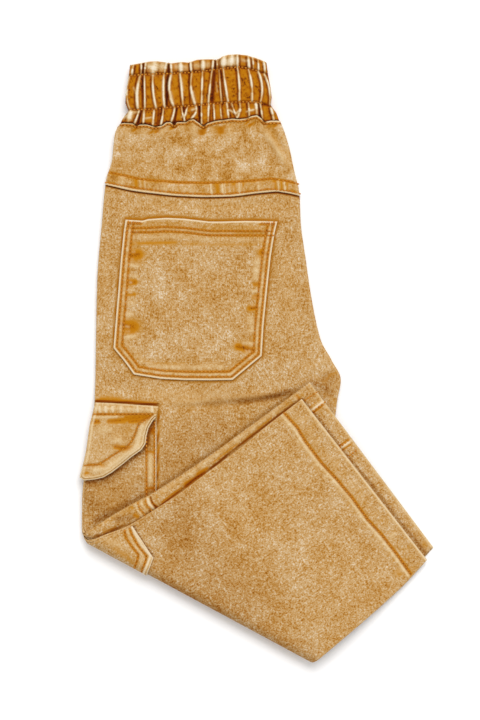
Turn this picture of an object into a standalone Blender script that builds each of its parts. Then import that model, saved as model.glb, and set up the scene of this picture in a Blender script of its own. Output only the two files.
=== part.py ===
"""A child's pull-on cargo jeans, folded in half down the centre back with the fronts inside, then turned up
across the knee, lying flat.

+X is the seat side of the folded garment, +Y its waist and +Z up from the surface that it lies on.
The tables below are in millimetres, in the plan of the garment before the legs are turned up, and
MM takes them to metres. Each panel is a loft of straight sections across the leg, from the outseam to
the inseam or, above the crotch, to the centre back. It is bent round the fold line and given a wall.
"""
import math
from collections import namedtuple

import bmesh
import bpy
from mathutils import Vector

MM = 0.001
CENTRE = Vector((0.45, -1.13))   # of the finished garment's box, in the tables' plan

# --- Cloth ---------------------------------------------------------------------------------------
WALL = 1.2               # washed stretch denim, one layer
GAP = 0.3                # between pieces, at seams and between layers
FRONT_WALL = 2.3         # each hidden front, with the slack it lies in
CASING_WALL = 2.0        # waistband: cloth, elastic, cloth
ON_PANEL = WALL + GAP    # from a panel's middle to the middle of a piece that lies on it

# --- Layers: height of each layer's middle above the surface, at the hip and at the waist ---------
Layer = namedtuple("Layer", "hip waist")
RIGHT_BACK = Layer(2.1, 1.6)
RIGHT_FRONT = Layer(4.15, 4.8)
LEFT_FRONT = Layer(5.15, 6.8)
LEFT_BACK = Layer(7.2, 10.0)
RISE_LOW = 131.0         # the layers start to rise towards the thick waistband at the yoke seam
RISE_HIGH = 189.0

# --- Fold across the knee --------------------------------------------------------------------------
FOLD_POINT = Vector((-119.9, -145.7))   # a point on the axis of the bend, in plan
FOLD_DROP = 28.3                        # degrees that the fold line falls towards the seat side
FOLD_ALONG = Vector((math.cos(math.radians(FOLD_DROP)), -math.sin(math.radians(FOLD_DROP))))
FOLD_OUT = Vector((FOLD_ALONG.y, -FOLD_ALONG.x))    # from the body towards the fold's edge
FOLD_HEIGHT = 9.7        # the bend's axis above the surface
BEND_STEPS = 8
FOLD_SEARCH_STEPS = 12   # to find where an outline meets a line along the fold
LEG_RADIUS = {"right": 7.0, "left": 3.5}   # the bend that sets how far each leg reaches past it
SETTLE = 2.2             # the turned-up part sinks on to the leg beneath it
SETTLE_START = 42.0      # distance from the bend's axis
SETTLE_END = 92.0
OVERHANG_DROP = 9.3      # past the inseam of the leg beneath it, it bends down to the surface
OVERHANG_REACH = 84.0

# --- Outline before the legs are turned up ------------------------------------------------------
Out = namedtuple("Out", "y left right")   # outseam: x of the left leg and of the right leg
OUTSEAM = (
    Out(190.0, -107.2, -107.2),
    Out(182.6, -112.6, -112.6),
    Out(158.6, -115.4, -115.4),
    Out(142.6, -120.0, -120.0),
    Out(110.6, -123.2, -123.2),
    Out(62.6, -127.2, -127.2),
    Out(-33.4, -129.2, -129.2),
    Out(-65.4, -133.0, -133.0),
    Out(-113.4, -139.2, -138.6),
    Out(-137.4, -139.4, -138.8),
    Out(-161.0, -138.6, -136.0),
    Out(-190.0, -136.4, -130.4),
    Out(-230.0, -134.2, -129.6),
    Out(-297.0, -134.2, -133.4),
    Out(-358.0, -140.6, -138.8),
)
In = namedtuple("In", "y x")              # centre back down to the crotch, then the inseam
INSEAM = (
    In(190.6, 19.2),
    In(182.6, 22.4),
    In(166.6, 27.2),
    In(150.6, 30.6),
    In(131.0, 35.0),
    In(110.6, 35.8),
    In(78.6, 40.0),
    In(46.6, 44.8),
    In(14.6, 52.0),
    In(-1.4, 60.6),
    In(-17.4, 68.0),
    In(-33.4, 65.2),
    In(-267.0, 41.0),
    In(-340.0, 31.7),
    In(-371.0, 24.4),
)

# --- Sections across the leg, from the waist down to the bend -------------------------------------
# out and inn are their heights at the two edges, bow how far their middle hangs below the line
# between them, turn how far the back turns down at its right edge, inset how far the fronts stay
# inside it there, and lift how far the cargo flap beneath raises their outseam end.
Section = namedtuple("Section", "out inn bow turn inset lift")
BACK_TURN = 2.55         # half the height between the two backs at the hip: they meet at the edge
BACK_APART = 0.6         # each turns this far less, and stops short of the other
SEAM_TURN = 1.0          # the back turns down this far over a front's edge at a leg seam
SEAM_INSET = 2.2
CARGO_LIFT = 1.5         # the cargo flap underneath raises what lies over it
YOKE_ROWS = (
    Section(189.6, 190.4, 0.0, 4.3, 7.0, 0.0),
    Section(180.0, 181.0, 0.5, 4.2, 6.6, 0.0),
    Section(166.0, 166.0, 1.0, 3.8, 5.8, 0.0),
    Section(152.0, 149.0, 2.0, 3.0, 4.8, 0.0),
    Section(138.0, 131.0, 4.0, BACK_TURN, 4.4, 0.0),
)
BACK_ROWS = (
    Section(138.0, 131.0, 4.0, BACK_TURN, 4.4, 0.0),
    Section(116.0, 110.0, 2.0, BACK_TURN, 4.4, 0.0),
    Section(90.0, 84.0, 0.0, BACK_TURN, 4.4, 0.0),
    Section(62.0, 56.0, 0.0, BACK_TURN, 4.4, 0.0),
    Section(34.0, 28.0, 0.0, BACK_TURN, 4.4, 0.0),
    Section(10.0, 8.0, 0.0, BACK_TURN, 4.4, 0.0),
    Section(-8.0, -6.0, 0.0, BACK_TURN, 4.4, 0.0),
    Section(-20.0, -17.4, 0.0, 1.8, 3.4, 0.0),
    Section(-32.0, -30.0, 0.0, SEAM_TURN, SEAM_INSET, CARGO_LIFT),
    Section(-46.0, -56.0, 0.0, SEAM_TURN, SEAM_INSET, CARGO_LIFT),
    Section(-62.0, -90.0, 0.0, SEAM_TURN, SEAM_INSET, CARGO_LIFT),
    Section(-78.0, -124.0, 0.0, SEAM_TURN, SEAM_INSET, CARGO_LIFT),
    Section(-94.0, -156.0, 0.0, SEAM_TURN, SEAM_INSET, CARGO_LIFT),
    Section(-108.0, -184.0, 0.0, SEAM_TURN, SEAM_INSET, CARGO_LIFT),
    Section(-121.0, -208.0, 0.0, SEAM_TURN, SEAM_INSET, 0.0),
)
HEM_OUT = -358.0         # the hem's height at the outseam, as if the leg were not turned up
HEM_IN = -371.0
HEM_STEPS = (0.12, 0.28, 0.46, 0.64, 0.82, 0.93, 1.0)   # sections from the bend to the hem

# --- Columns across a section -----------------------------------------------------------------------
EDGE_WIDTH = 1.6                                   # a seam edge turns within this
LIFT_FULL = 0.36                                   # columns up to here take the section's lift
LIFT_NONE = 0.5                                    # it has gone by here
ACROSS = (0.08, 0.17, 0.26, LIFT_FULL, LIFT_NONE, 0.64, 0.78, 0.9)   # of the section's length
TURN_ANGLES = (0.0, 45.0, 90.0)                    # round the right edge

# --- Waistband ---------------------------------------------------------------------------------------
Band = namedtuple("Band", "left_y right_y left_x right_x")    # its edges, top to bottom
BAND_ROWS = (
    Band(236.0, 241.0, -101.6, 8.6),
    Band(213.0, 215.0, -104.0, 12.0),
    Band(190.2, 191.0, -106.6, 17.6),
)
GATHERS = 16             # across the folded band
GATHER_DEPTH = 0.7       # a gather's ridge above the band's middle, on top
GATHER_PRESSED = 0.35    # and underneath, where the band lies on the surface
BAND_LEFT_FRONT = 6.7    # heights of its two hidden runs
BAND_RIGHT_FRONT = 4.3
BAND_INNER_STEPS = 5
BAND_NEAR = 0.02         # its flat runs start here, as a share of its folded width
BAND_FAR = 0.96          # the two outer runs end here
BAND_INNER_FAR = 0.9     # and the two hidden runs here, inside the centre back
BAND_NEAR_EDGE = 0.009   # where its loop turns, at the outseam
BAND_INNER_EDGE = 0.91
BAND_FAR_EDGE = 0.99
BAND_SHOULDER = 0.984    # the outer loop rounds off here
BAND_SHOULDER_PART = 0.6

# --- Back pocket --------------------------------------------------------------------------------------
Point = namedtuple("Point", "x y")
POCKET_OUTLINE = (
    Point(-104.2, 111.0),
    Point(16.6, 109.4),
    Point(5.0, 1.0),
    Point(-19.0, -17.7),
    Point(-55.6, -17.7),
    Point(-97.6, -12.6),
    Point(-114.2, 10.6),
)

# --- Cargo pocket: back half, from under the flap to its bottom edge round the bend ---------------
CARGO_TOP = -50.0
CARGO_SIDE = {"left": -79.6, "right": -88.5}       # its straight side edge
CARGO_BOTTOM = -189.6
CARGO_CORNER = 13.0      # height of the cut corner at the bottom
CARGO_CORNER_WIDTH = 9.5
CARGO_HEM_IN = 1.2       # its folded outer edge stays this far inside the outseam

# --- Cargo flap: lines from its sewn top edge down to its free edge, outseam first -----------------
Rib = namedtuple("Rib", "top_x top_y low_x low_y sag")
FLAP_RIBS = (
    Rib(-131.0, -35.6, -141.2, -96.2, 2.6),
    Rib(-127.6, -35.6, -138.0, -98.0, 0.0),
    Rib(-117.0, -36.2, -124.2, -95.6, 0.0),
    Rib(-101.0, -37.0, -103.4, -82.4, 0.0),
    Rib(-88.6, -37.8, -86.8, -67.6, 0.0),
    Rib(-80.8, -38.4, -80.6, -49.0, 0.0),
    Rib(-78.6, -38.6, -78.6, -40.4, 0.0),
)
FLAP_STEPS = 4
FLAP_HIDDEN_SHARE = 0.82  # the flap underneath is this wide a share, to stay inside the outseam


def clear_scene():
    for item in list(bpy.data.objects):
        bpy.data.objects.remove(item, do_unlink=True)


def new_collection(name):
    collection = bpy.data.collections.new(name)
    bpy.context.scene.collection.children.link(collection)
    return collection


def cloth(name, colour):
    """Dry washed denim."""
    material = bpy.data.materials.new(name)
    material.use_nodes = True
    shader = material.node_tree.nodes["Principled BSDF"]
    shader.inputs["Base Color"].default_value = (*colour, 1.0)
    shader.inputs["Roughness"].default_value = 0.9
    shader.inputs["Metallic"].default_value = 0.0
    material.diffuse_color = (*colour, 1.0)
    return material


def ease(value, low, high):
    """0 below low, 1 above high, smooth between."""
    part = min(1.0, max(0.0, (value - low) / (high - low)))
    return part * part * (3.0 - 2.0 * part)


def read_table(table, y, column):
    """A column of a table whose y falls, straight between its rows."""
    for above, below in zip(table, table[1:]):
        if y >= below.y:
            break
    part = (above.y - y) / (above.y - below.y)
    start = getattr(above, column)
    return start + (getattr(below, column) - start) * part


def outseam(leg, y):
    return Vector((read_table(OUTSEAM, y, leg), y))


def inseam(y):
    return Vector((read_table(INSEAM, y, "x"), y))


def past_fold(point):
    """Distance of a plan point past the fold's axis."""
    return (point - FOLD_POINT).dot(FOLD_OUT)


def meet_fold(edge, distance):
    """The point where an edge (a function of y) lies the given distance past the fold's axis."""
    y = FOLD_POINT.y
    for _ in range(FOLD_SEARCH_STEPS):
        y += (past_fold(edge(y)) - distance) / -FOLD_OUT.y
    return edge(y)


def mix(start, end, part):
    return start + (end - start) * part


class Line:
    """A section of one leg in plan, with its own heights."""

    def __init__(self, start, end, row):
        self.start = start
        self.end = end
        self.row = row
        self.rise = ease(start.y, RISE_LOW, RISE_HIGH)

    def at(self, part):
        point = mix(self.start, self.end, part)
        return point - Vector((0.0, self.row.bow * 4.0 * part * (1.0 - part)))

    def length(self):
        return (self.end - self.start).length

    def height(self, layer, part):
        share = min(1.0, max(0.0, (LIFT_NONE - part) / (LIFT_NONE - LIFT_FULL)))
        return mix(layer.hip, layer.waist, self.rise) + self.row.lift * share


def upper_lines(leg, rows):
    return [Line(outseam(leg, row.out), inseam(row.inn), row) for row in rows]


def lower_lines(leg):
    """Sections round the bend and on to the hem."""
    plain = Section(0.0, 0.0, 0.0, SEAM_TURN, SEAM_INSET, 0.0)
    lines = []
    for step in range(BEND_STEPS + 1):
        distance = LEG_RADIUS[leg] * math.pi * step / BEND_STEPS
        start = meet_fold(lambda y: outseam(leg, y), distance)
        end = meet_fold(inseam, distance)
        lines.append(Line(start, end, plain))
    for part in HEM_STEPS:
        start = outseam(leg, mix(lines[BEND_STEPS].start.y, HEM_OUT, part))
        end = inseam(mix(lines[BEND_STEPS].end.y, HEM_IN, part))
        lines.append(Line(start, end, plain))
    return lines


def settle(point):
    """How far the turned-up part sinks at a point of the plan."""
    sink = SETTLE * ease(-past_fold(point), SETTLE_START, SETTLE_END)
    outside = point.x - inseam(point.y).x
    reach = min(1.0, max(0.0, outside / OVERHANG_REACH))
    return sink + OVERHANG_DROP * (1.0 - math.cos(math.pi * reach)) / 2.0


def metres(x, y, height):
    return Vector((x - CENTRE.x, y - CENTRE.y, height)) * MM


def place(leg, point, height):
    """Takes a plan point at a height round the fold, to metres."""
    distance = past_fold(point)
    radius = LEG_RADIUS[leg]
    if distance <= 0.0:
        return metres(point.x, point.y, height)
    angle = min(distance / radius, math.pi)
    beyond = distance - radius * angle
    reach = FOLD_HEIGHT - height
    flat = point + FOLD_OUT * (reach * math.sin(angle) - beyond - distance)
    z = FOLD_HEIGHT - reach * math.cos(angle)
    if beyond > 0.0:
        z -= settle(flat)
    return metres(flat.x, flat.y, z)


def grid_shape(grid, closed=False):
    """Faces between the rows of a grid of points."""
    shape = bmesh.new()
    verts = [[shape.verts.new(point) for point in row] for row in grid]
    for upper, lower in zip(verts, verts[1:]):
        for column in range(len(upper) if closed else len(upper) - 1):
            after = (column + 1) % len(upper)
            shape.faces.new((upper[column], lower[column], lower[after], upper[after]))
    return shape


def cloth_object(name, shape, wall, collection, colour):
    """Cloth whose middle is a finished shape."""
    mesh = bpy.data.meshes.new(name)
    shape.to_mesh(mesh)
    shape.free()
    item = bpy.data.objects.new(name, mesh)
    mesh.materials.append(cloth(name, colour))
    collection.objects.link(item)
    solid = item.modifiers.new("Wall", "SOLIDIFY")
    solid.thickness = wall * MM
    solid.offset = 0.0
    solid.use_even_offset = True
    return item


def back_grid(leg, layer, lines, down):
    """A back panel or yoke: down is 1 where it turns down at its edges, -1 where it turns up."""
    grid = []
    for line in lines:
        length = line.length()
        turn = line.row.turn
        # the wall's outside, not its middle, reaches the outline
        first = WALL / 2.0 / length
        last = 1.0 - first
        row = [place(leg, line.at(first), line.height(layer, 0.0) - down * SEAM_TURN)]
        row.append(place(leg, line.at(first + EDGE_WIDTH / length), line.height(layer, 0.0)))
        for part in ACROSS:
            row.append(place(leg, line.at(part), line.height(layer, part)))
        for angle in TURN_ANGLES:
            bend = math.radians(angle)
            part = last - turn * (1.0 - math.sin(bend)) / length
            drop = (turn - BACK_APART) * (1.0 - math.cos(bend))
            row.append(place(leg, line.at(part), line.height(layer, 1.0) - down * drop))
        grid.append(row)
    return grid


def front_grid(leg, layer, lines):
    """A front, inside the backs."""
    grid = []
    for line in lines:
        length = line.length()
        first = (WALL / 2.0 + SEAM_INSET) / length
        last = 1.0 - (WALL / 2.0 + line.row.inset) / length
        parts = (first, *ACROSS, last)
        grid.append([place(leg, line.at(part), line.height(layer, part)) for part in parts])
    return grid


def trimmed(lines):
    """The same sections, the last one drawn back by the gap of a seam."""
    return [*lines[:-1], line_at(lines, lines[-1].start.y + GAP)]


def build_legs(collection, cutters, colour):
    for leg, layer, down in (("left", LEFT_BACK, 1.0), ("right", RIGHT_BACK, -1.0)):
        yoke = trimmed(upper_lines(leg, YOKE_ROWS))
        cloth_object(leg + "_yoke", grid_shape(back_grid(leg, layer, yoke, down)), WALL, collection, colour)
        lines = upper_lines(leg, BACK_ROWS) + lower_lines(leg)
        cloth_object(leg + "_back", grid_shape(back_grid(leg, layer, lines, down)), WALL, collection, colour)
    lines = upper_lines("left", YOKE_ROWS[:-1] + BACK_ROWS) + lower_lines("left")
    grid = front_grid("left", LEFT_FRONT, lines)
    fronts = cloth_object("fronts", grid_shape(grid), FRONT_WALL, collection, colour)
    lines = upper_lines("right", YOKE_ROWS[:-1] + BACK_ROWS) + lower_lines("right")
    grid = front_grid("right", RIGHT_FRONT, lines)
    other = cloth_object("right_front", grid_shape(grid), FRONT_WALL, cutters, colour)
    other.hide_render = True
    other.display_type = "WIRE"
    join = fronts.modifiers.new("Both fronts", "BOOLEAN")
    join.operation = "UNION"
    join.solver = "EXACT"
    join.object = other


def band_path():
    """The band's loop, seen from the waist: share across the folded band, height and gather there."""
    steps = 2 * GATHERS
    middle = (LEFT_BACK.waist + RIGHT_BACK.waist) / 2.0
    left_turn = (LEFT_BACK.waist + BAND_LEFT_FRONT) / 2.0
    right_turn = (RIGHT_BACK.waist + BAND_RIGHT_FRONT) / 2.0
    path = []
    for step in range(steps + 1):
        gather = GATHER_DEPTH if step % 2 else -GATHER_DEPTH
        path.append((mix(BAND_FAR, BAND_NEAR, step / steps), LEFT_BACK.waist, gather))
    path.append((BAND_NEAR_EDGE, left_turn, 0.0))
    for step in range(BAND_INNER_STEPS + 1):
        part = step / BAND_INNER_STEPS
        path.append((mix(BAND_NEAR, BAND_INNER_FAR, part), BAND_LEFT_FRONT, 0.0))
    path.append((BAND_INNER_EDGE, (BAND_LEFT_FRONT + BAND_RIGHT_FRONT) / 2.0, 0.0))
    for step in range(BAND_INNER_STEPS + 1):
        part = step / BAND_INNER_STEPS
        path.append((mix(BAND_INNER_FAR, BAND_NEAR, part), BAND_RIGHT_FRONT, 0.0))
    path.append((BAND_NEAR_EDGE, right_turn, 0.0))
    for step in range(steps + 1):
        gather = GATHER_PRESSED if step % 2 else -GATHER_PRESSED
        path.append((mix(BAND_NEAR, BAND_FAR, step / steps), RIGHT_BACK.waist, gather))
    path.append((BAND_SHOULDER, mix(middle, RIGHT_BACK.waist, BAND_SHOULDER_PART), 0.0))
    path.append((BAND_FAR_EDGE, middle, 0.0))
    path.append((BAND_SHOULDER, mix(middle, LEFT_BACK.waist, BAND_SHOULDER_PART), 0.0))
    return path


def build_waistband(collection, colour):
    path = band_path()
    grid = []
    for row in BAND_ROWS:
        points = []
        for share, height, gather in path:
            x = mix(row.left_x, row.right_x, share)
            y = mix(row.left_y, row.right_y, share)
            points.append(metres(x, y, height + gather))
        grid.append(points)
    shape = grid_shape(grid, closed=True)
    cloth_object("waistband", shape, CASING_WALL, collection, colour)


def build_back_pockets(collection, colour):
    places = {"left": LEFT_BACK.hip + ON_PANEL, "right": RIGHT_BACK.hip - ON_PANEL}
    for leg, height in places.items():
        shape = bmesh.new()
        corners = [shape.verts.new(metres(point.x, point.y, height)) for point in POCKET_OUTLINE]
        shape.faces.new(corners)
        cloth_object(leg + "_back_pocket", shape, WALL, collection, colour)


def line_at(lines, y):
    """The section that meets the outseam at y, straight between the panel's own."""
    for above, below in zip(lines, lines[1:]):
        if y >= below.start.y:
            break
    part = (above.start.y - y) / (above.start.y - below.start.y)
    row = Section(*(mix(high, low, part) for high, low in zip(above.row, below.row)))
    return Line(mix(above.start, below.start, part), mix(above.end, below.end, part), row)


def cross(line, x):
    """Share of a section's length at a given x."""
    return (x - line.start.x) / (line.end.x - line.start.x)


def cut_away(shape, point, normal):
    """Cuts a flat shape along a line in plan and drops the side that the normal points to."""
    everything = shape.verts[:] + shape.edges[:] + shape.faces[:]
    bmesh.ops.bisect_plane(shape, geom=everything, plane_co=point, plane_no=normal, clear_outer=True)


def build_cargo_pockets(collection, colour):
    """The back half of each pocket: flat on the panel's own sections, cut to its bottom, then bent."""
    for leg, layer, up in (("left", LEFT_BACK, 1.0), ("right", RIGHT_BACK, -1.0)):
        lines = upper_lines(leg, BACK_ROWS) + lower_lines(leg)
        side = CARGO_SIDE[leg]
        rows = [line_at(lines, CARGO_TOP)]
        rows += [line for line in lines if CARGO_TOP > line.start.y > CARGO_BOTTOM]
        rows.append(line_at(lines, CARGO_BOTTOM))
        grid = []
        for line in rows:
            edge = cross(line, side)
            first = (CARGO_HEM_IN + WALL / 2.0 + EDGE_WIDTH) / line.length()
            row = []
            for part in (first, mix(first, edge, 0.5), edge):
                point = line.at(part)
                row.append(Vector((point.x, point.y, line.height(layer, part) + up * ON_PANEL)))
            grid.append(row)
        shape = grid_shape(grid)
        cut_away(shape, Vector((side, CARGO_BOTTOM, 0.0)), Vector((0.0, -1.0, 0.0)))
        corner = Vector((side, CARGO_BOTTOM + CARGO_CORNER, 0.0))
        cut_away(shape, corner, Vector((CARGO_CORNER, -CARGO_CORNER_WIDTH, 0.0)))
        for vert in shape.verts:
            vert.co = place(leg, vert.co.to_2d(), vert.co.z)
        cloth_object(leg + "_cargo_pocket", shape, WALL, collection, colour)


def build_cargo_flaps(collection, colour):
    """Each flap lies over the top of its pocket; the left one stands out past the outseam."""
    for leg, layer, up in (("left", LEFT_BACK, 1.0), ("right", RIGHT_BACK, -1.0)):
        height = layer.hip + CARGO_LIFT + up * 2.0 * ON_PANEL
        grid = []
        for rib in FLAP_RIBS:
            column = []
            for step in range(FLAP_STEPS + 1):
                part = step / FLAP_STEPS
                x = mix(rib.top_x, rib.low_x, part)
                if leg == "right":
                    x = mix(FLAP_RIBS[-1].top_x, x, FLAP_HIDDEN_SHARE)
                y = mix(rib.top_y, rib.low_y, part)
                sag = rib.sag * part if leg == "left" else 0.0
                column.append(metres(x, y, height - sag))
            grid.append(column)
        cloth_object(leg + "_cargo_flap", grid_shape(grid), WALL, collection, colour)


def build():
    clear_scene()
    jeans = new_collection("Kids jeans")
    cutters = new_collection("Cutters")
    tan = (0.58, 0.35, 0.135)
    mustard = (0.46, 0.24, 0.06)
    pale = (0.64, 0.41, 0.18)
    build_legs(jeans, cutters, tan)
    build_waistband(jeans, mustard)
    build_back_pockets(jeans, pale)
    build_cargo_pockets(jeans, pale)
    build_cargo_flaps(jeans, tan)


build()
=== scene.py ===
"""A child's pull-on cargo jeans in acid-washed golden tan denim, lying folded flat.

The plan is the folded garment seen from above, before its legs are turned up across the knee, in millimetres.
place() takes it round the fold. The line of a seam or a fold is written as x, y, x, y... in the photograph's
480 x 720 frame, and from_photo() takes it to the plan. A layer's relief is a set of marks: soft ridges and
troughs with their wash and painted shade.
"""

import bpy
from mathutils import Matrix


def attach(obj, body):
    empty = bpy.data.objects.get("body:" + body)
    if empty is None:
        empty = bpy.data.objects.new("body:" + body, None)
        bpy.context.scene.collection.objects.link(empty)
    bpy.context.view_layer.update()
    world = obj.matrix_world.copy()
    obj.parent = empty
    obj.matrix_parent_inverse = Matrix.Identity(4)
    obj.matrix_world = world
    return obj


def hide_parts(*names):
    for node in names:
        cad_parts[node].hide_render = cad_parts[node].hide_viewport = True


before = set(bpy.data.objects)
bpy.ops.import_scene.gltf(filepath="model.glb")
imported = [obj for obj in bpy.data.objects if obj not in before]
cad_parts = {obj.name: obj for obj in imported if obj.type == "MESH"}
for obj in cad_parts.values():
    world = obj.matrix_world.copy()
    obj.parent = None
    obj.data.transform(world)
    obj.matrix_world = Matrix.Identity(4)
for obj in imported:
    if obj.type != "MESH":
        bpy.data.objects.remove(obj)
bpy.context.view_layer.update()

import math
import random
from collections import namedtuple

import bmesh
import bpy
import numpy as np
from mathutils import Matrix, Vector

MM = 0.001
CENTRE = np.array((0.45, -1.13))
PHOTO_ORIGIN = np.array((256.0, 358.3))   # the photograph's point at the plan's origin
PHOTO_MM = 0.8                            # millimetres to one of its pixels
LEGS = ("left", "right")

# --- Cloth and layers ---
CLOTH = 1.0              # one layer of washed stretch denim
ON_CLOTH = 1.25          # from one layer's face to the face of what lies on it
Layer = namedtuple("Layer", "hip waist up")   # middle height at hip and waist; up: which way its face looks
BACK_LAYERS = {"right": Layer(2.1, 1.6, -1.0), "left": Layer(7.2, 10.0, 1.0)}
FRONT_LAYERS = {"right": Layer(4.0, 4.5, 1.0), "left": Layer(5.3, 7.1, -1.0)}
SHARED_SWELL = ((62.0, 0.35, 3), (27.0, 0.14, 4))   # length, height and seed of the cloth's own unevenness
UNDER_SEED = 7           # added to a seed on the side underneath
PRESSED = {"panel": 0.35, "pocket": 0.3, "flap": 0.2}   # share of its relief that the side underneath keeps
OPEN_SINK = 1.3          # the layers sink by this where no pocket or fold lies with them,
POCKET_SLOPE = 17.0      # over this distance round the back pocket,
CARGO_SLOPE = ((-84.0, -66.0), (26.0, 44.0))    # over these x and -y beside and above the cargo pocket
BEND_SLOPE = (-26.0, -4.0)                      # and between these distances past the fold
FLAP_RISE = 1.5          # and they rise by this under the flap

# --- Fold across the knee ---
FOLD_POINT = np.array((-119.9, -145.7))
FOLD_DROP = math.radians(28.3)
ALONG = np.array((math.cos(FOLD_DROP), -math.sin(FOLD_DROP)))
OUT = np.array((ALONG[1], -ALONG[0]))
FOLD_HEIGHT = 9.7
LEG_RADIUS = {"right": 7.0, "left": 3.5}
BEND_ROWS = 8
ON_FLOOR = 0.05          # nothing goes lower than this
FOLD_SINK = 2.2          # the turned-up part sinks by this between these distances from the fold,
FOLD_SINK_SPAN = (42.0, 92.0)
BODY_HEIGHT = 9.3        # and by this more over a distance beyond the inseam, where no leg is under it
OFF_BODY = 84.0


# === From the photograph to the plan =============================
def plan_x(x):
    return (x - PHOTO_ORIGIN[0]) * PHOTO_MM


def from_photo(points):
    """The plan's points under a line in the photograph, given as x, y, x, y..."""
    away = (np.array(points, float).reshape(-1, 2) - PHOTO_ORIGIN) * PHOTO_MM
    return away * (1.0, -1.0)


def unturned(leg, points):
    """The same for the turned-up part: where a leg's points lay before it was turned up."""
    away = from_photo(points) - FOLD_POINT
    past = math.pi * LEG_RADIUS[leg] - away @ OUT
    return FOLD_POINT + (away @ ALONG)[:, None] * ALONG + past[:, None] * OUT


def on_left(points):
    return unturned("left", points)


def on_right(points):
    return unturned("right", points)


# --- Outline: y, then x of the left and right outseam; y, then x of centre back and inseam ---
OUTSEAM = (
    (190, -107.2, -107.2), (182.6, -112.6, -112.6), (158.6, -115.4, -115.4), (142.6, -120, -120),
    (110.6, -123.2, -123.2), (62.6, -127.2, -127.2), (-33.4, -129.2, -129.2), (-65.4, -133, -133),
    (-113.4, -139.2, -138.6), (-137.4, -139.4, -138.8), (-161, -139.4, -136), (-190, -138.2, -130.4),
    (-206, -136.4, -129.9), (-230, -135.9, -129.6), (-262, -136.2, -131.3), (-297, -138, -133.4),
    (-320, -139, -136), (-358, -141, -138.8))
INSEAM = (
    (190.6, 19.2), (182.6, 22.4), (166.6, 27.2), (150.6, 30.6), (131, 35), (110.6, 35.8), (78.6, 40),
    (46.6, 44.8), (14.6, 52), (-1.4, 60.6), (-17.4, 68), (-33.4, 65.2), (-267, 41), (-340, 31.7), (-371, 24.4))
# Sections across the leg: heights at outseam and inseam, bow, turn at the right edge, front's inset there
YOKE_ROWS = (
    (189.6, 190.4, 0, 4.3, 7), (180, 181, 0.5, 4.2, 6.6), (166, 166, 1, 3.8, 5.8), (152, 149, 2, 3, 4.8),
    (138, 131, 4, 2.55, 4.4))
BACK_ROWS = (
    (138, 131, 4, 2.55, 4.4), (116, 110, 2, 2.55, 4.4), (90, 84, 0, 2.55, 4.4), (62, 56, 0, 2.55, 4.4),
    (34, 28, 0, 2.55, 4.4), (10, 8, 0, 2.55, 4.4), (-8, -6, 0, 2.55, 4.4), (-20, -17.4, 0, 1.8, 3.4),
    (-32, -30, 0, 1.3, 1.6), (-46, -56, 0, 1.3, 1), (-62, -90, 0, 1.3, 1), (-78, -124, 0, 1.3, 1),
    (-94, -156, 0, 1.3, 1), (-108, -184, 0, 1.3, 1), (-121, -208, 0, 1.3, 1))
WAIST_Y = 190.0
BAND_TOP_Y = 236.0
HIP_Y = 131.0            # below this the layers lie at their hip heights
HEM_OUT = {"right": -358.0, "left": -361.0}
HEM_IN = -371.0
HEM_DEPTH = 18.0
SEAM_ROLL = 1.4          # radius of a seam edge at the outseam and inseam
FRONT_ROLL = 0.8
FRONT_INSET = 0.4
TURN_ANGLES = np.radians((90.0, 68.0, 45.0, 22.0, 0.0))
RIM = (0.5, 1.2, 2.0)    # columns this far inside a turned edge
FINE_REACH = 62.0        # the left front shows this far from its outseam, in narrow strips
FINE_COLUMNS = 88
# Columns of each grid, and the step between its rows above each height
YOKE_COLUMNS = {"left": 190, "right": 90}
BACK_COLUMNS = {"left": 112, "right": 118}
FRONT_COLUMNS = {"left": 60, "right": 50}
POCKET_CELLS = {"left": 150, "right": 64}
FLAP_CELLS = {"left": 84, "right": 34}
LOWEST = -999.0
YOKE_STEPS = {"left": ((LOWEST, 0.8),), "right": ((LOWEST, 1.6),)}
BACK_STEPS = {"left": ((128.0, 0.9), (-165.0, 1.6), (-337.0, 5.0), (LOWEST, 1.6)),
              "right": ((-120.0, 3.2), (-334.0, 1.5), (LOWEST, 1.1))}
FRONT_STEPS = {"left": ((-110.0, 5.0), (-176.0, 1.7), (-216.0, 0.9), (LOWEST, 1.7)),
               "right": ((-110.0, 5.0), (LOWEST, 4.0))}

# --- Patches ---
POCKET_TOP = from_photo((
    125.4, 219.5, 142.4, 220.6, 148.5, 218.9, 166.6, 217.7, 184.8, 218.6, 209, 221.4, 221.2, 221.4,
    245.4, 220.8, 277.5, 221.4))
POCKET_RIGHT = from_photo((
    277.5, 221.4, 274.5, 234, 270.8, 257, 267.2, 289.8, 263.6, 326.2, 261.8, 355.9, 232.7, 380))
POCKET_FOOT = from_photo((133.9, 374.6, 160.6, 378.9, 184.8, 380.2, 209, 380.4, 232.7, 380))
POCKET_LEFT = from_photo((
    125.4, 219.5, 123.6, 231.7, 120.6, 259.5, 118.2, 289.8, 115.8, 317.7, 113.3, 348, 124.2, 361.3,
    133.9, 374.6))
PHOTO_POCKET_HEM = (148.5, 228, 166.6, 226.9, 184.8, 228, 209, 231, 233, 231.1)
FLAP_TOP = from_photo((95.4, 402.4, 112, 403, 135, 404.6, 158.4, 406.2))
FLAP_RIGHT = from_photo((158.4, 406.2, 157.9, 410.5, 155.6, 417.9))
FLAP_LEFT = from_photo((95.4, 402.4, 92.4, 413.7, 89.6, 425, 86.1, 450.2, 84, 460, 79.4, 477.2))
FLAP_FOOT = from_photo((
    79.4, 477.2, 84, 480.6, 95, 479.6, 103.7, 477.5, 112, 472.6, 122, 465, 131.7, 457, 141.6, 450, 145.6, 444,
    146.6, 436, 148.8, 427.9, 152.8, 420.9, 155.6, 417.9))
PHOTO_FLAP_SEAM = (134.8, 434.7, 131.7, 441.7, 126, 447.3, 112, 455.8, 103.7, 461.4, 98, 464.6)
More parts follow.
